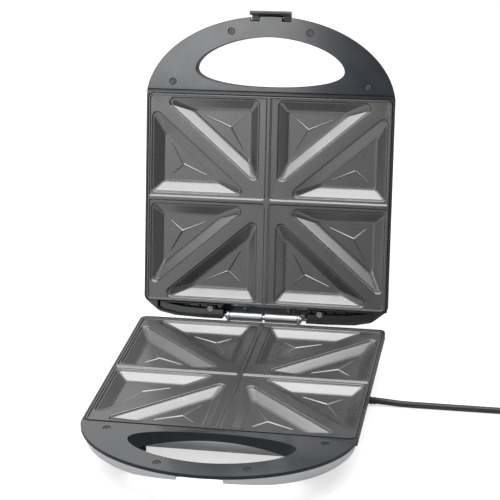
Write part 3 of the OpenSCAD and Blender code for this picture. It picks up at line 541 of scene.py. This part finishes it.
# %% A lathe helper
def lathe(name, profile, place, along, steps=48):
    """Spins (distance, radius) pairs about the line from place in the direction along."""
    axis = Vector(along).normalized()
    side = axis.orthogonal().normalized()
    other = axis.cross(side)
    points, faces = [], []
    for distance, radius in profile:
        for k in range(steps):
            a = 2 * math.pi * k / steps
            points.append(Vector(place) + axis * distance
                          + (side * math.cos(a) + other * math.sin(a)) * radius)
    for i in range(len(profile) - 1):
        for k in range(steps):
            n = (k + 1) % steps
            faces.append((i * steps + k, i * steps + n, (i + 1) * steps + n, (i + 1) * steps + k))
    faces.append(tuple(reversed(range(steps))))
    faces.append(tuple(range((len(profile) - 1) * steps, len(profile) * steps)))
    mesh = bpy.data.meshes.new(name)
    mesh.from_pydata([tuple(p) for p in points], [], faces)
    mesh.update()
    smooth_all(mesh, 38)
    return mesh


def joined(name, meshes):
    whole = bmesh.new()
    for mesh in meshes:
        whole.from_mesh(mesh)
    result = bpy.data.meshes.new(name)
    whole.to_mesh(result)
    whole.free()
    return put_in_scene(name, result)


print("lathe ready")

# %% [markdown]
# The strain relief keeps the cord from bending sharply where it leaves the housing. Its six rings
# repeat one small step, so a loop writes the profile and makes each ring a little smaller.

# %% The strain relief: a taper with rings
RELIEF_FROM, RELIEF_TO = 0.101, 0.122


def relief_profile():
    """A flange, then a taper whose rings get smaller towards the cord."""
    profile = [(0, 0.0031), (0, 0.0041), (0.0015, 0.0042), (0.0018, 0.0040)]
    rings, length = 6, RELIEF_TO - RELIEF_FROM - 0.002
    for k in range(rings):
        start = 0.002 + length * k / rings
        radius = 0.0041 - 0.0007 * k / rings
        pitch = length / rings
        profile += [(start, radius - 0.0006), (start + 0.25 * pitch, radius - 0.0006),
                    (start + 0.4 * pitch, radius), (start + 0.85 * pitch, radius - 0.00005),
                    (start + 0.98 * pitch, radius - 0.0006)]
    return profile + [(RELIEF_TO - RELIEF_FROM, 0.0031)]


exit_line = (RELIEF_FROM, CORD_EXIT[1], CORD_EXIT[2])
strain_relief = put_in_scene("strain_relief",
                             lathe("strain_relief", relief_profile(), exit_line, (1, 0, 0)))
print("strain relief:", round((RELIEF_TO - RELIEF_FROM) * 1000, 1), "mm")

# %% [markdown]
# The plug is a ringed sleeve, a grip and a wide round face. No rule gives its outline, so its
# profile is listed point by point from the cord to the face. The ribs of the grip are instances
# on a ring.

# %% The plug: a sleeve, a grip with ribs and a round face
PLUG_PLACE = Vector((0.320, COIL_CENTRE[1] + 0.046, 0.0182))
plug_profile = [(0, 0.0031), (0, 0.0040), (0.004, 0.0042), (0.0045, 0.0037), (0.006, 0.0037),
                (0.0065, 0.0046), (0.010, 0.0048), (0.0105, 0.0042), (0.012, 0.0042),
                (0.0125, 0.0052), (0.016, 0.0054), (0.0165, 0.0047), (0.018, 0.0047),
                (0.0185, 0.0058), (0.022, 0.0060), (0.0245, 0.0088), (0.0268, 0.0115),
                (0.029, 0.0130), (0.032, 0.0138), (0.039, 0.0138), (0.0405, 0.0142),
                (0.0425, 0.0160), (0.0440, 0.0175), (0.0450, 0.0179), (0.0555, 0.0179),
                (0.0564, 0.0176), (0.0569, 0.0168), (0.0569, 0.0060), (0.0566, 0.0055)]
plug_moulding = lathe("plug_moulding", plug_profile, PLUG_PLACE, (0, 1, 0), 64)


def rib_tree():
    """Places a thin rib at each point of a ring, turned to face outwards."""
    tree, given = node_tree("ring_of_ribs", "Count", "Ring", "Length", "Width", "Height")
    ring = add(tree, "GeometryNodeMeshCircle")
    rib = add(tree, "GeometryNodeMeshCube")
    size = add(tree, "ShaderNodeCombineXYZ")
    place = add(tree, "GeometryNodeInstanceOnPoints")
    outward = add(tree, "FunctionNodeAlignRotationToVector", axis="X")
    position = add(tree, "GeometryNodeInputPosition")
    link = tree.links.new
    link(given.outputs["Count"], ring.inputs["Vertices"])
    link(given.outputs["Ring"], ring.inputs["Radius"])
    link(given.outputs["Height"], size.inputs["X"])
    link(given.outputs["Width"], size.inputs["Y"])
    link(given.outputs["Length"], size.inputs["Z"])
    link(size.outputs["Vector"], rib.inputs["Size"])
    link(ring.outputs["Mesh"], place.inputs["Points"])
    link(rib.outputs["Mesh"], place.inputs["Instance"])
    link(position.outputs["Position"], outward.inputs["Vector"])
    link(outward.outputs["Rotation"], place.inputs["Rotation"])
    return close_tree(tree, given, place.outputs["Instances"])


RIBS = rib_tree()
grip = bake(put_in_scene("grip_ribs", bpy.data.meshes.new("grip_ribs")), RIBS,
            {"Count": 36, "Ring": 0.0137, "Length": 0.007, "Width": 0.0009, "Height": 0.0012,
             "Finish": FINISHES["plug"]})
grip.data.transform(Matrix.Translation(PLUG_PLACE + Vector((0, 0.0355, 0)))
                    @ Matrix.Rotation(math.radians(-90), 4, "X"))
plug = joined("mains_plug", [plug_moulding, grip.data])
bpy.data.objects.remove(grip)
print("plug faces:", len(plug.data.polygons))

# %% [markdown]
# The coil is kept together by a soft strap. It goes once round the turns, so its section is a loop
# that hugs them: we take a rounded box about the two stacked layers and give it a little thickness.

# %% The strap round the coil
def strap(name, centre, across, reach, half_height, width, thickness):
    """A flat loop round a bundle: across is the direction of the bundle's width."""
    outline = []
    corner = 0.002
    for cx, cz, start in ((1, 1, 0), (-1, 1, 90), (-1, -1, 180), (1, -1, 270)):
        for step in range(7):
            a = math.radians(start + step * 15)
            outline.append((cx * (reach - corner) + corner * math.cos(a),
                            cz * (half_height - corner) + corner * math.sin(a)))
    along = Vector((0, 0, 1)).cross(across)
    mesh = bpy.data.meshes.new(name)
    points, faces = [], []
    for shell in (0.0, thickness):
        for side in (-width / 2, width / 2):
            for u, z in outline:
                grow = 1 - shell / max(math.hypot(u, z), 1e-6)
                p = Vector(centre) + across * (u * grow) + along * side + Vector((0, 0, z * grow))
                points.append(tuple(p))
    n = len(outline)
    for k in range(n):
        m = (k + 1) % n
        faces += [(k, m, n + m, k + n), (2 * n + m, 2 * n + k, 3 * n + k, 3 * n + m),
                  (m, k, 2 * n + k, 2 * n + m), (n + k, n + m, 3 * n + m, 3 * n + k)]
    mesh.from_pydata(points, [], faces)
    mesh.update()
    shell = bmesh.new()
    shell.from_mesh(mesh)
    bmesh.ops.recalc_face_normals(shell, faces=shell.faces)
    shell.to_mesh(mesh)
    shell.free()
    smooth_all(mesh, 40)
    return put_in_scene(name, mesh)


STRAP_ANGLE = math.radians(80)
strap_across = Vector((math.cos(STRAP_ANGLE), math.sin(STRAP_ANGLE), 0))
strap_centre = Vector((COIL_CENTRE[0], COIL_CENTRE[1], 0.0062)) + strap_across * 0.033
coil_strap = strap("coil_strap", strap_centre, strap_across, 0.0070, 0.0061, 0.009, 0.0008)
print("strap faces:", len(coil_strap.data.polygons))

# %% [markdown]
# ## The baking plates
# Each plate is a casting with eight triangular pockets between raised cutting ridges. Its shape
# follows a rule: every pocket is the same rounded triangle moved in step by step as it gets deeper.
# So we draw closed loops at known depths, bridge each loop to the next, and fill the flat lands
# between them. A few close loops at each edge give the soft corners that a casting has, and these
# thin bands are what catches the light.

# %% Sizes of a plate, in millimetres, drawn with the lid shut
HALF_WIDTH, HALF_DEPTH, PLATE_CORNER = 120.0, 103.0, 5.0
RIM_TOP, LAND, FLANGE, FLOOR, FLOOR_BACK, BOSS_END = 0.25, 1.75, 3.95, 8.55, 10.75, 17.95
RIDGE_HALF, RIDGE_SLOPE, RIM_WIDTH = 1.5, 1.2, 1.4
RIM_LAND, LONG_START, SIDE_START = 4.2, 10.2, 6.3
LONG_GAP, SIDE_GAP = 6.2, 7.8      # from the diagonal of a quarter to each pocket's long wall
SLOPE = HALF_DEPTH / HALF_WIDTH
DIAGONAL = math.atan(SLOPE)
LONG_CORNER = (LONG_START, HALF_DEPTH - RIM_LAND)
SIDE_CORNER = (HALF_WIDTH - RIM_LAND, SIDE_START)
LONG_LEG = LONG_CORNER[1] / SLOPE - LONG_GAP / math.sin(DIAGONAL) - LONG_CORNER[0]
SIDE_LEG = SIDE_CORNER[0] * SLOPE - SIDE_GAP / math.cos(DIAGONAL) - SIDE_CORNER[1]
LONG_LEGS = (LONG_LEG, LONG_LEG * SLOPE)
SIDE_LEGS = (SIDE_LEG / SLOPE, SIDE_LEG)
LONG_LEAN, SIDE_LEAN = (7.0, 9.2, 9.2), (9.2, 9.2, 9.2)
HINGE_Y, STAND_Y, PARTING_HEIGHT = 115.0, -11.5035, 40.0
LID_OPEN = math.radians(105.5)


def arc(cx, cy, radius, start, end, steps):
    return [(cx + radius * math.cos(math.radians(start + (end - start) * k / steps)),
             cy + radius * math.sin(math.radians(start + (end - start) * k / steps)))
            for k in range(steps + 1)]


def corners_inside(legs, inward):
    """Corners of the right triangle after its three walls have moved in."""
    a, b = legs
    e = 1 - inward[2] * math.sqrt(1 / (a * a) + 1 / (b * b))
    return [(inward[0], inward[1]), (a * (e - inward[1] / b), inward[1]),
            (inward[0], b * (e - inward[0] / a))]


def pocket_loop(legs, inward, radius):
    c = corners_inside(legs, [value + radius for value in inward])
    heel = math.degrees(math.atan2(legs[0], legs[1]))
    return (arc(*c[0], radius, 180, 270, 6) + arc(*c[1], radius, -90, heel, 10)
            + arc(*c[2], radius, heel, 180, 10))


def land_loop(share):
    """Edge of one quarter's land: 0 at the top of the ridges and the rim, 1 at their foot."""
    low = RIDGE_HALF + RIDGE_SLOPE * share
    right, far = HALF_WIDTH - RIM_WIDTH - 0.35 * share, HALF_DEPTH - RIM_WIDTH - 0.35 * share
    cross, small, outer = 4.0 - share, 0.9, PLATE_CORNER - RIM_WIDTH
    return (arc(low + cross, low + cross, cross, 180, 270, 8)
            + arc(right - small, low + small, small, 270, 360, 3)
            + arc(right - outer, far - outer, outer, 0, 90, 8)
            + arc(low + small, far - small, small, 90, 180, 3))


def plate_loop(inset):
    x, y, r = HALF_WIDTH - inset, HALF_DEPTH - inset, PLATE_CORNER - inset
    return (arc(x - r, y - r, r, 0, 90, 8) + arc(r - x, y - r, r, 90, 180, 8)
            + arc(r - x, r - y, r, 180, 270, 8) + arc(x - r, r - y, r, 270, 360, 8))


print("pocket legs:", [round(v, 1) for v in LONG_LEGS + SIDE_LEGS], "mm")

# %% [markdown]
# Two helpers do nearly all of the modelling. One joins loops of equal count with bands of faces,
# and the other fills a flat area that has holes in it. A boolean cut could make the pockets too,
# but it would leave no close loops at the edges, and those are what makes a soft corner.

# %% Bridge the loops and fill the lands
def bridge(shape, loops):
    """Faces between loops of equal count, each a list of points with its depth."""
    rows = [[shape.verts.new((x, y, -depth)) for x, y in loop] for loop, depth in loops]
    for low, high in zip(rows, rows[1:]):
        for k in range(len(low)):
            n = (k + 1) % len(low)
            shape.faces.new((low[k], low[n], high[n], high[k]))


def crossings(x, y, loop):
    """How often a line from a point to the right crosses a loop."""
    pairs = zip(loop, loop[1:] + loop[:1])
    return sum((y0 > y) != (y1 > y) and x < x0 + (y - y0) * (x1 - x0) / (y1 - y0)
               for (x0, y0), (x1, y1) in pairs)


def fill(shape, loops, depth):
    """A flat face with holes: the first loop is its edge, the others are the holes."""
    points, edges = [], []
    for loop in loops:
        start = len(points)
        points += [Vector(p) for p in loop]
        edges += [(start + k, start + (k + 1) % len(loop)) for k in range(len(loop))]
    flat, _, faces, *_ = delaunay_2d_cdt(points, edges, [], 0, 1e-7)
    verts = [shape.verts.new((p.x, p.y, -depth)) for p in flat]
    for face in faces:
        middle = sum((flat[k] for k in face), Vector((0, 0))) / len(face)
        if sum(crossings(middle.x, middle.y, loop) for loop in loops) % 2:
            shape.faces.new([verts[k] for k in face])


print("bridge and fill ready")

# %% [markdown]
# A pocket has a rounded mouth, a short step, a leaning wall and a floor that blends into it. Each
# row says how far its loop has moved in, how deep it lies and how round its corners are. The back
# of the pocket is a second, simpler skin, because a casting has a thickness.

# %% The rows of a pocket
# From the land down, all round a pocket: how far in, how far down, and the corner radius.
MOUTH = ((-1.5, 0.0, 5.4), (-1.25, 0.05, 5.3), (-1.0, 0.22, 5.2), (-0.78, 0.5, 5.0),
         (-0.36, 1.34, 4.7), (-0.2, 1.56, 4.6), (0.02, 1.64, 4.5), (0.62, 1.6, 4.2),
         (0.8, 1.68, 4.1))
WALL_IN, WALL_TOP, WALL_DROP, WALL_EASE = 0.9, 3.62, 4.45, 1.2
WALL_ROWS = ((0.02, 4.0), (0.4, 3.4), (0.8, 2.8))   # share of the wall, and the corner radius
BLEND_OUT, BLEND_STEPS = 1.6, 6


def pocket_rows(legs, lean):
    """The cavity from the land down: rounded lip, short step, leaning wall, blended floor."""
    def wall(share):
        inward = [WALL_IN + (value - WALL_EASE) * share for value in lean]
        return inward, WALL_TOP + WALL_DROP * share

    rows = [([inward] * 3, LAND + down, radius) for inward, down, radius in MOUTH]
    rows += [(*wall(share), radius) for share, radius in WALL_ROWS]
    last_share, last_radius = WALL_ROWS[-1]
    start, low = wall(last_share)
    foot, _ = wall((FLOOR - WALL_TOP) / WALL_DROP)
    for k in range(1, BLEND_STEPS + 1):
        t = k / BLEND_STEPS
        inward = [(1 - t) ** 2 * a + 2 * t * (1 - t) * b + t * t * (b + BLEND_OUT)
                  for a, b in zip(start, foot)]
        rows.append((inward, (1 - t) ** 2 * low + (1 - (1 - t) ** 2) * FLOOR, last_radius - t))
    return [(pocket_loop(legs, inward, radius), depth) for inward, depth, radius in rows]


# The back: how far in and how deep at the flange, then how far short of the lean and how deep.
BACK_MOUTH = ((-1.03, FLANGE), (-0.88, FLANGE + 1.0))
BACK_FOOT = ((2.9, FLOOR_BACK - 0.5), (2.2, FLOOR_BACK))
BACK_RADIUS = 3.5


def back_rows(legs, lean):
    """The back of a pocket, as seen from inside the housing."""
    rows = [([inward] * 3, depth) for inward, depth in BACK_MOUTH]
    rows += [([value - short for value in lean], depth) for short, depth in BACK_FOOT]
    return [(pocket_loop(legs, inward, BACK_RADIUS), depth) for inward, depth in rows]


def placed(loop, corner, turn_x, turn_y, quarter):
    """Moves a pocket's loop to its corner and into one of the four quarters."""
    sx, sy = quarter
    return [(sx * (corner[0] + turn_x * u), sy * (corner[1] + turn_y * v)) for u, v in loop]


QUARTERS = ((1, 1), (-1, 1), (-1, -1), (1, -1))
POCKETS = ((LONG_LEGS, LONG_LEAN, LONG_CORNER, 1, -1), (SIDE_LEGS, SIDE_LEAN, SIDE_CORNER, -1, 1))
print("rows of a pocket:", len(pocket_rows(LONG_LEGS, LONG_LEAN)))

# %% [markdown]
# Bosses with a blind bore for a screw stand on the back of each plate: four long ones between the
# pockets and a short one near each corner. Each is five rings, joined by the same bridge.

# %% The bosses on the back
BOSS_ROOT, BOSS_SIDES, BORE = FLANGE - 1.0, 24, 1.55
LONG_BOSSES, LONG_RADIUS, LONG_BORE = ((0, 60), (0, -60), (62, 0), (-62, 0)), 3.3, 9.0
SHORT_BOSS, SHORT_RADIUS, SHORT_END = (109.0, 93.5), 3.4, FLANGE + 2.3


def boss(shape, x, y, under, radius, bore_end):
    """A boss on the back of the plate, with a blind bore from below."""
    def ring(r, z):
        turns = [2 * math.pi * k / BOSS_SIDES for k in range(BOSS_SIDES)]
        return [(x + r * math.cos(a), y + r * math.sin(a)) for a in turns], z

    bridge(shape, [ring(radius, BOSS_ROOT), ring(radius, under - 0.3), ring(radius - 0.3, under),
                   ring(BORE, under), ring(BORE, bore_end)])
    for r, z in ((radius, BOSS_ROOT), (BORE, bore_end)):
        fill(shape, [ring(r, z)[0]], z)


print("bosses on a plate:", len(LONG_BOSSES) + len(QUARTERS))

# %% [markdown]
# The four quarters of a plate mirror each other, so a loop over four pairs of signs draws them all.
# The casting is drawn once, as it lies with the lid shut, and both plates are copies of it.

# %% Draw one casting
# Share of the way from a ridge's top to its foot, and the depth there.
RIDGE_ROWS = ((-0.35, RIM_TOP), (-0.1, RIM_TOP + 0.04), (0.1, RIM_TOP + 0.2),
              (0.85, LAND - 0.24), (1.08, LAND - 0.07), (1.4, LAND))
# The outer side of a plate: how far in from its edge, and the depth there.
SIDE_ROWS = ((0.4, RIM_TOP), (0.12, RIM_TOP + 0.06), (0.0, RIM_TOP + 0.3),
             (0.0, FLANGE - 0.3), (0.3, FLANGE))


def casting():
    shape = bmesh.new()
    tops, backs = [], []
    for quarter in QUARTERS:
        sx, sy = quarter
        rows = [([(sx * x, sy * y) for x, y in land_loop(share)], depth)
                for share, depth in RIDGE_ROWS]
        bridge(shape, rows)
        tops.append(rows[0][0])
        mouths = []
        for legs, lean, corner, turn_x, turn_y in POCKETS:
            cavity = [(placed(loop, corner, turn_x, turn_y, quarter), depth)
                      for loop, depth in pocket_rows(legs, lean)]
            bridge(shape, cavity)
            fill(shape, [cavity[-1][0]], FLOOR)
            mouths.append(cavity[0][0])
            back = [(placed(loop, corner, turn_x, turn_y, quarter), depth)
                    for loop, depth in back_rows(legs, lean)]
            bridge(shape, back)
            fill(shape, [back[-1][0]], FLOOR_BACK)
            backs.append(back[0][0])
        fill(shape, [rows[-1][0]] + mouths, LAND)
    side = [(plate_loop(inset), depth) for inset, depth in SIDE_ROWS]
    bridge(shape, side)
    fill(shape, [side[0][0]] + tops, RIM_TOP)
    fill(shape, [side[-1][0]] + backs, FLANGE)
    bmesh.ops.remove_doubles(shape, verts=shape.verts, dist=1e-4)
    for x, y in LONG_BOSSES:
        boss(shape, x, y, BOSS_END, LONG_RADIUS, BOSS_END - LONG_BORE)
    for sx, sy in QUARTERS:
        boss(shape, sx * SHORT_BOSS[0], sy * SHORT_BOSS[1], SHORT_END, SHORT_RADIUS,
             BOSS_ROOT + 0.4)
    bmesh.ops.remove_doubles(shape, verts=shape.verts, dist=1e-4)
    bmesh.ops.recalc_face_normals(shape, faces=shape.faces)
    open_edges = sum(not e.is_manifold for e in shape.edges)
    print("casting:", len(shape.faces), "faces,", open_edges, "open edges")
    return shape


CASTING = casting()

# %% [markdown]
# The drawing is in millimetres. One matrix sets it in the base. The lid's plate is the same drawing
# mirrored, then swung about the axis of the hinge by the angle at which the lid stands open.

# %% Set the drawing in its place on the base or the open lid
PLATE_CREASE = 45               # degrees; sharper edges keep a hard line in the shading


def base_place():
    return Matrix.Scale(0.001, 4) @ Matrix.Translation((0, STAND_Y, PARTING_HEIGHT))


def lid_place():
    swing = (Matrix.Translation((0, HINGE_Y, 0)) @ Matrix.Rotation(-LID_OPEN, 4, "X")
             @ Matrix.Translation((0, -HINGE_Y, 0)))
    return base_place() @ swing @ Matrix.Scale(-1, 4, (0, 0, 1))


def set_in(name, shape, place):
    """Keeps a copy of a drawing as a piece in its real place, with its faces outwards."""
    mesh = bpy.data.meshes.new(name)
    shape.to_mesh(mesh)
    mesh.transform(place)
    if place.determinant() < 0:
        mesh.flip_normals()
    return even_normals(put_in_scene(name, mesh), PLATE_CREASE)


print("places ready")

# %% [markdown]
# A low rib with three arms stands on each pocket floor. All the arms of a plate have one shape at
# different lengths and turns, so each is an instance of a tapering bar, half sunk in the floor. The
# points carry the turn and the reach of their arm as attributes.

# %% The ribs on the pocket floors
RIB_WIDTH, RIB_HEIGHT, RIB_TAPER, RIB_SHARE = 2.0, 0.75, 0.45, 0.57


def arm_tree():
    tree, given = node_tree("floor_rib_arms", "Width", "Height", "Taper")
    bar = add(tree, "GeometryNodeMeshCone")
    bar.inputs["Vertices"].default_value = 4
    bar.inputs["Radius Bottom"].default_value = 1.0
    bar.inputs["Depth"].default_value = 1.0
    lay = add(tree, "GeometryNodeTransform")
    lay.inputs["Rotation"].default_value = (0.0, math.radians(90), 0.0)
    reach = add(tree, "GeometryNodeInputNamedAttribute", data_type="FLOAT")
    reach.inputs["Name"].default_value = "reach"
    turn = add(tree, "GeometryNodeInputNamedAttribute", data_type="FLOAT")
    turn.inputs["Name"].default_value = "turn"
    half = add(tree, "ShaderNodeMath", operation="MULTIPLY")
    half.inputs[1].default_value = 0.5
    size = add(tree, "ShaderNodeCombineXYZ")
    angle = add(tree, "ShaderNodeCombineXYZ")
    place = add(tree, "GeometryNodeInstanceOnPoints")
    link = tree.links.new
    link(given.outputs["Taper"], bar.inputs["Radius Top"])
    link(bar.outputs["Mesh"], lay.inputs["Geometry"])
    link(given.outputs["Width"], half.inputs[0])
    link(reach.outputs["Attribute"], size.inputs["X"])
    link(half.outputs[0], size.inputs["Y"])
    link(given.outputs["Height"], size.inputs["Z"])
    link(turn.outputs["Attribute"], angle.inputs["Z"])
    link(given.outputs["Geometry"], place.inputs["Points"])
    link(lay.outputs["Geometry"], place.inputs["Instance"])
    link(angle.outputs["Vector"], place.inputs["Rotation"])
    link(size.outputs["Vector"], place.inputs["Scale"])
    return close_tree(tree, given, place.outputs["Instances"])


def arm_points():
    """Where each arm starts, how long it is and how it is turned, for the whole plate."""
    arms = []
    for quarter in QUARTERS:
        for legs, lean, corner, turn_x, turn_y in POCKETS:
            tips = placed(corners_inside(legs, lean), corner, turn_x, turn_y, quarter)
            middle = Vector((sum(p[0] for p in tips), sum(p[1] for p in tips))) / 3
            for tip in tips:
                way = Vector(tip) - middle
                arms.append((middle, way.length * RIB_SHARE, math.atan2(way.y, way.x)))
    return arms


ARMS = arm_points()
ARM_TREE = arm_tree()
print("arms on a plate:", len(ARMS))

# %% [markdown]
# ## Softened mouldings
# No moulded or bent edge is truly sharp. These copies of the solid pieces have their sharp edges
# rounded by a few tenths of a millimetre, which is enough to catch a thin line of light.

# %% Soften the mouldings
# The solid piece, the name of its copy, the radius in metres and the least angle that is rounded.
ROUNDED = (
    ("lower_frame", "lower_cover", 0.0005, 50),
    ("upper_frame", "upper_cover", 0.0005, 50),
    ("lower_housing", "lower_shell", 0.0006, 50),
    ("upper_housing", "upper_shell", 0.0006, 50),
    ("latch", "latch_moulding", 0.0004, 35),
    ("lower_hinge", "hinge_bracket", 0.0003, 40),
    ("upper_hinge", "hinge_barrels", 0.0003, 40),
)
rounded = {node: softened(node, name, radius, sharp) for node, name, radius, sharp in ROUNDED}
for node, piece in rounded.items():
    print(node, len(piece.data.polygons), "faces")

# %% [markdown]
# The plates are cast last, with their ribs: one is set in the base and the other in the open lid.

# %% Cast both plates
def baking_plate(name, place):
    whole = CASTING.copy()
    rows = bpy.data.meshes.new(name + "_arms")
    rows.from_pydata([(middle.x, middle.y, -FLOOR) for middle, _, _ in ARMS], [], [])
    for label, column in (("reach", 1), ("turn", 2)):
        rows.attributes.new(label, "FLOAT", "POINT").data.foreach_set("value",
                                                                     [arm[column] for arm in ARMS])
    arms = bake(put_in_scene(name + "_arms", rows), ARM_TREE,
                {"Width": RIB_WIDTH, "Height": RIB_HEIGHT, "Taper": RIB_TAPER,
                 "Finish": FINISHES["plate"]})
    whole.from_mesh(arms.data)
    bpy.data.objects.remove(arms)
    return set_in(name, whole, place)


lower_casting = baking_plate("lower_casting", base_place())
upper_casting = baking_plate("upper_casting", lid_place())
print("plate faces:", len(lower_casting.data.polygons))

# %% [markdown]
# Every solid piece already names the finish slot that it belongs to, so one loop dresses them all.

# %% Dress the solid pieces
for entry in frame["record"]["subparts"]:
    solid = frame["nodes"][entry["node"]]
    solid.data.materials.clear()
    solid.data.materials.append(FINISHES[entry["material_slot"]])

# %% [markdown]
# ## Say what each new piece is
# A piece made here rides on the body that carries it and stands in for the plain solid in the same
# place.

# %% Rides, slots and stand-ins
def dress(piece, body, slot, *stands_for):
    piece.data.materials.clear()
    piece.data.materials.append(FINISHES[slot])
    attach(piece, body)
    if stands_for:
        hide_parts(*stands_for)


dress(mains_cord, "base", "cord", "power_cord", "cord_coil")
dress(strain_relief, "base", "plug", "cord_bushing")
dress(plug, "base", "plug", "plug_body")
dress(coil_strap, "base", "cord")
for entry in frame["record"]["subparts"]:
    if entry["node"] in rounded:
        owner = next(body for body, held in frame["record"]["behaviour"]["bodies"].items()
                     if entry["node"] in held)
        dress(rounded[entry["node"]], owner, entry["material_slot"], entry["node"])
dress(lower_casting, "base", "plate", "lower_plate")
dress(upper_casting, "lid", "plate", "upper_plate")
made_here = [mains_cord, strain_relief, plug, coil_strap, lower_casting, upper_casting,
             *rounded.values()]
print("pieces made here:", len(made_here))

# %% [markdown]
# The covers of the handles are glossy on their broad faces only. Every face that turns away from
# the direction of those, such as a side or a rounded edge, takes the duller finish, whose darker
# colour is painted shade for the seam between cover and housing.

# %% Dull edges of the covers, with painted shade
POLISHED_WITHIN = 0.97          # least cosine between a polished face and the cover's direction
COVER_DIRECTIONS = {"lower_frame": Vector((0, 0, 1)),
                    "upper_frame": Vector((0, -math.sin(LID_OPEN), -math.cos(LID_OPEN)))}
for node, direction in COVER_DIRECTIONS.items():
    mesh = rounded[node].data
    mesh.materials.append(PAINTED_SHADE_EDGE)
    for face in mesh.polygons:
        face.material_index = int(abs(face.normal.dot(direction)) < POLISHED_WITHIN)
    print(node, "dull faces:", sum(face.material_index for face in mesh.polygons))

# %% [markdown]
# ## The studio
# The toaster stands on a plain pale floor. The floor glows where the camera looks at it, and
# faintly in reflections, so that it looks almost white without throwing more light up at the
# toaster.

# %% The floor
FLOOR_REACH, FLOOR_GREY, CAMERA_LIFT, MIRROR_LIFT = 6, 0.60, 0.54, 0.08
floor_mesh = bpy.data.meshes.new("floor")
floor_corners = [(x * FLOOR_REACH, y * FLOOR_REACH, 0)
                 for x, y in ((-1, -1), (1, -1), (1, 1), (-1, 1))]
floor_mesh.from_pydata(floor_corners, [], [(0, 1, 2, 3)])
floor = put_in_scene("floor", floor_mesh)
floor_paint, floor_tree, floor_surface = finish("floor_paint", (FLOOR_GREY,) * 3, 0.9)
floor_surface.inputs["Specular IOR Level"].default_value = 0.0
floor_surface.inputs["Emission Color"].default_value = (1.0, 1.0, 1.0, 1.0)
rays = floor_tree.nodes.new("ShaderNodeLightPath")
lift = floor_tree.nodes.new("ShaderNodeMath")
lift.operation = "MULTIPLY_ADD"
lift.inputs[1].default_value = CAMERA_LIFT
floor_tree.links.new(rays.outputs["Is Camera Ray"], lift.inputs[0])
mirror = floor_tree.nodes.new("ShaderNodeMath")
mirror.operation = "MULTIPLY"
mirror.inputs[1].default_value = MIRROR_LIFT
seen = floor_tree.nodes.new("ShaderNodeMath")
seen.operation = "MAXIMUM"
for k, ray in enumerate(("Is Camera Ray", "Is Glossy Ray")):
    floor_tree.links.new(rays.outputs[ray], seen.inputs[k])
floor_tree.links.new(seen.outputs[0], mirror.inputs[0])
floor_tree.links.new(mirror.outputs[0], lift.inputs[2])
floor_tree.links.new(lift.outputs[0], floor_surface.inputs["Emission Strength"])
floor_mesh.materials.append(floor_paint)
print("floor:", 2 * FLOOR_REACH, "m wide")

# %% [markdown]
# The backdrop is a world that answers each kind of ray in its own way. The camera sees white.
# Reflections see a room that is dark in front and white behind, and other rays meet a dim, even
# fill. One plain white world would be simpler, but it would wash out the dark, glossy faces.

# %% The backdrop
ROOM_DARK, SKY_FILL = 0.16, 0.28
DARK_UNTIL, WHITE_FROM = -0.7, 0.5      # how far back a ray points, from -1 in front to 1 behind
world = bpy.data.worlds.new("studio")
world.use_nodes = True
bpy.context.scene.world = world
sky = world.node_tree
backdrop = sky.nodes["Background"]
backdrop.inputs["Color"].default_value = (1.0, 1.0, 1.0, 1.0)
sky_rays = sky.nodes.new("ShaderNodeLightPath")


def blend_value(tree, share, low, high):
    """A number that goes from low to high, a socket or a constant each, with a share of 0 to 1."""
    mix = tree.nodes.new("ShaderNodeMix")
    tree.links.new(share, mix.inputs["Factor"])
    for label, value in (("A", low), ("B", high)):
        if isinstance(value, float):
            mix.inputs[label].default_value = value
        else:
            tree.links.new(value, mix.inputs[label])
    return mix.outputs["Result"]


ray_way = sky.nodes.new("ShaderNodeSeparateXYZ")
sky.links.new(sky.nodes.new("ShaderNodeTexCoord").outputs["Generated"], ray_way.inputs["Vector"])
depth_share = sky.nodes.new("ShaderNodeMapRange")
depth_share.interpolation_type = "SMOOTHSTEP"
depth_share.inputs["From Min"].default_value = DARK_UNTIL
depth_share.inputs["From Max"].default_value = WHITE_FROM
sky.links.new(ray_way.outputs["Y"], depth_share.inputs["Value"])
room = blend_value(sky, depth_share.outputs["Result"], ROOM_DARK, 1.0)
mirrored = blend_value(sky, sky_rays.outputs["Is Glossy Ray"], SKY_FILL, room)
through = blend_value(sky, sky_rays.outputs["Is Transmission Ray"], mirrored, 1.0)
sky.links.new(blend_value(sky, sky_rays.outputs["Is Camera Ray"], through, 1.0),
              backdrop.inputs["Strength"])
print("backdrop nodes:", len(sky.nodes))

# %% [markdown]
# A large soft lamp overhead is what the sloped pocket walls mirror. Two weaker ones in front, on
# the left, give the handles their highlights. All are area lamps, because a small lamp would leave
# hard spots on the gloss.

# %% The lamps
def lamp(name, place, aim, width, height, power):
    data = bpy.data.lights.new(name, "AREA")
    data.shape = "RECTANGLE"
    data.size = width
    data.size_y = height
    data.energy = power
    light = bpy.data.objects.new(name, data)
    light.location = place
    light.rotation_euler = (Vector(aim) - Vector(place)).to_track_quat("-Z", "Y").to_euler()
    bpy.context.scene.collection.objects.link(light)
    light.visible_camera = False


lamp("overhead", (-0.3, -0.25, 1.6), (-0.3, -0.2, 0), 2.7, 1.5, 48)
lamp("front_left_high", (-0.62, -2.2, 1.25), (0, 0.15, 0.25), 0.56, 0.95, 4.6)
lamp("front_left_low", (-1.15, -2.2, 0.45), (0, 0.1, 0.15), 1.6, 0.75, 2.4)
bpy.context.scene.view_settings.view_transform = "Standard"
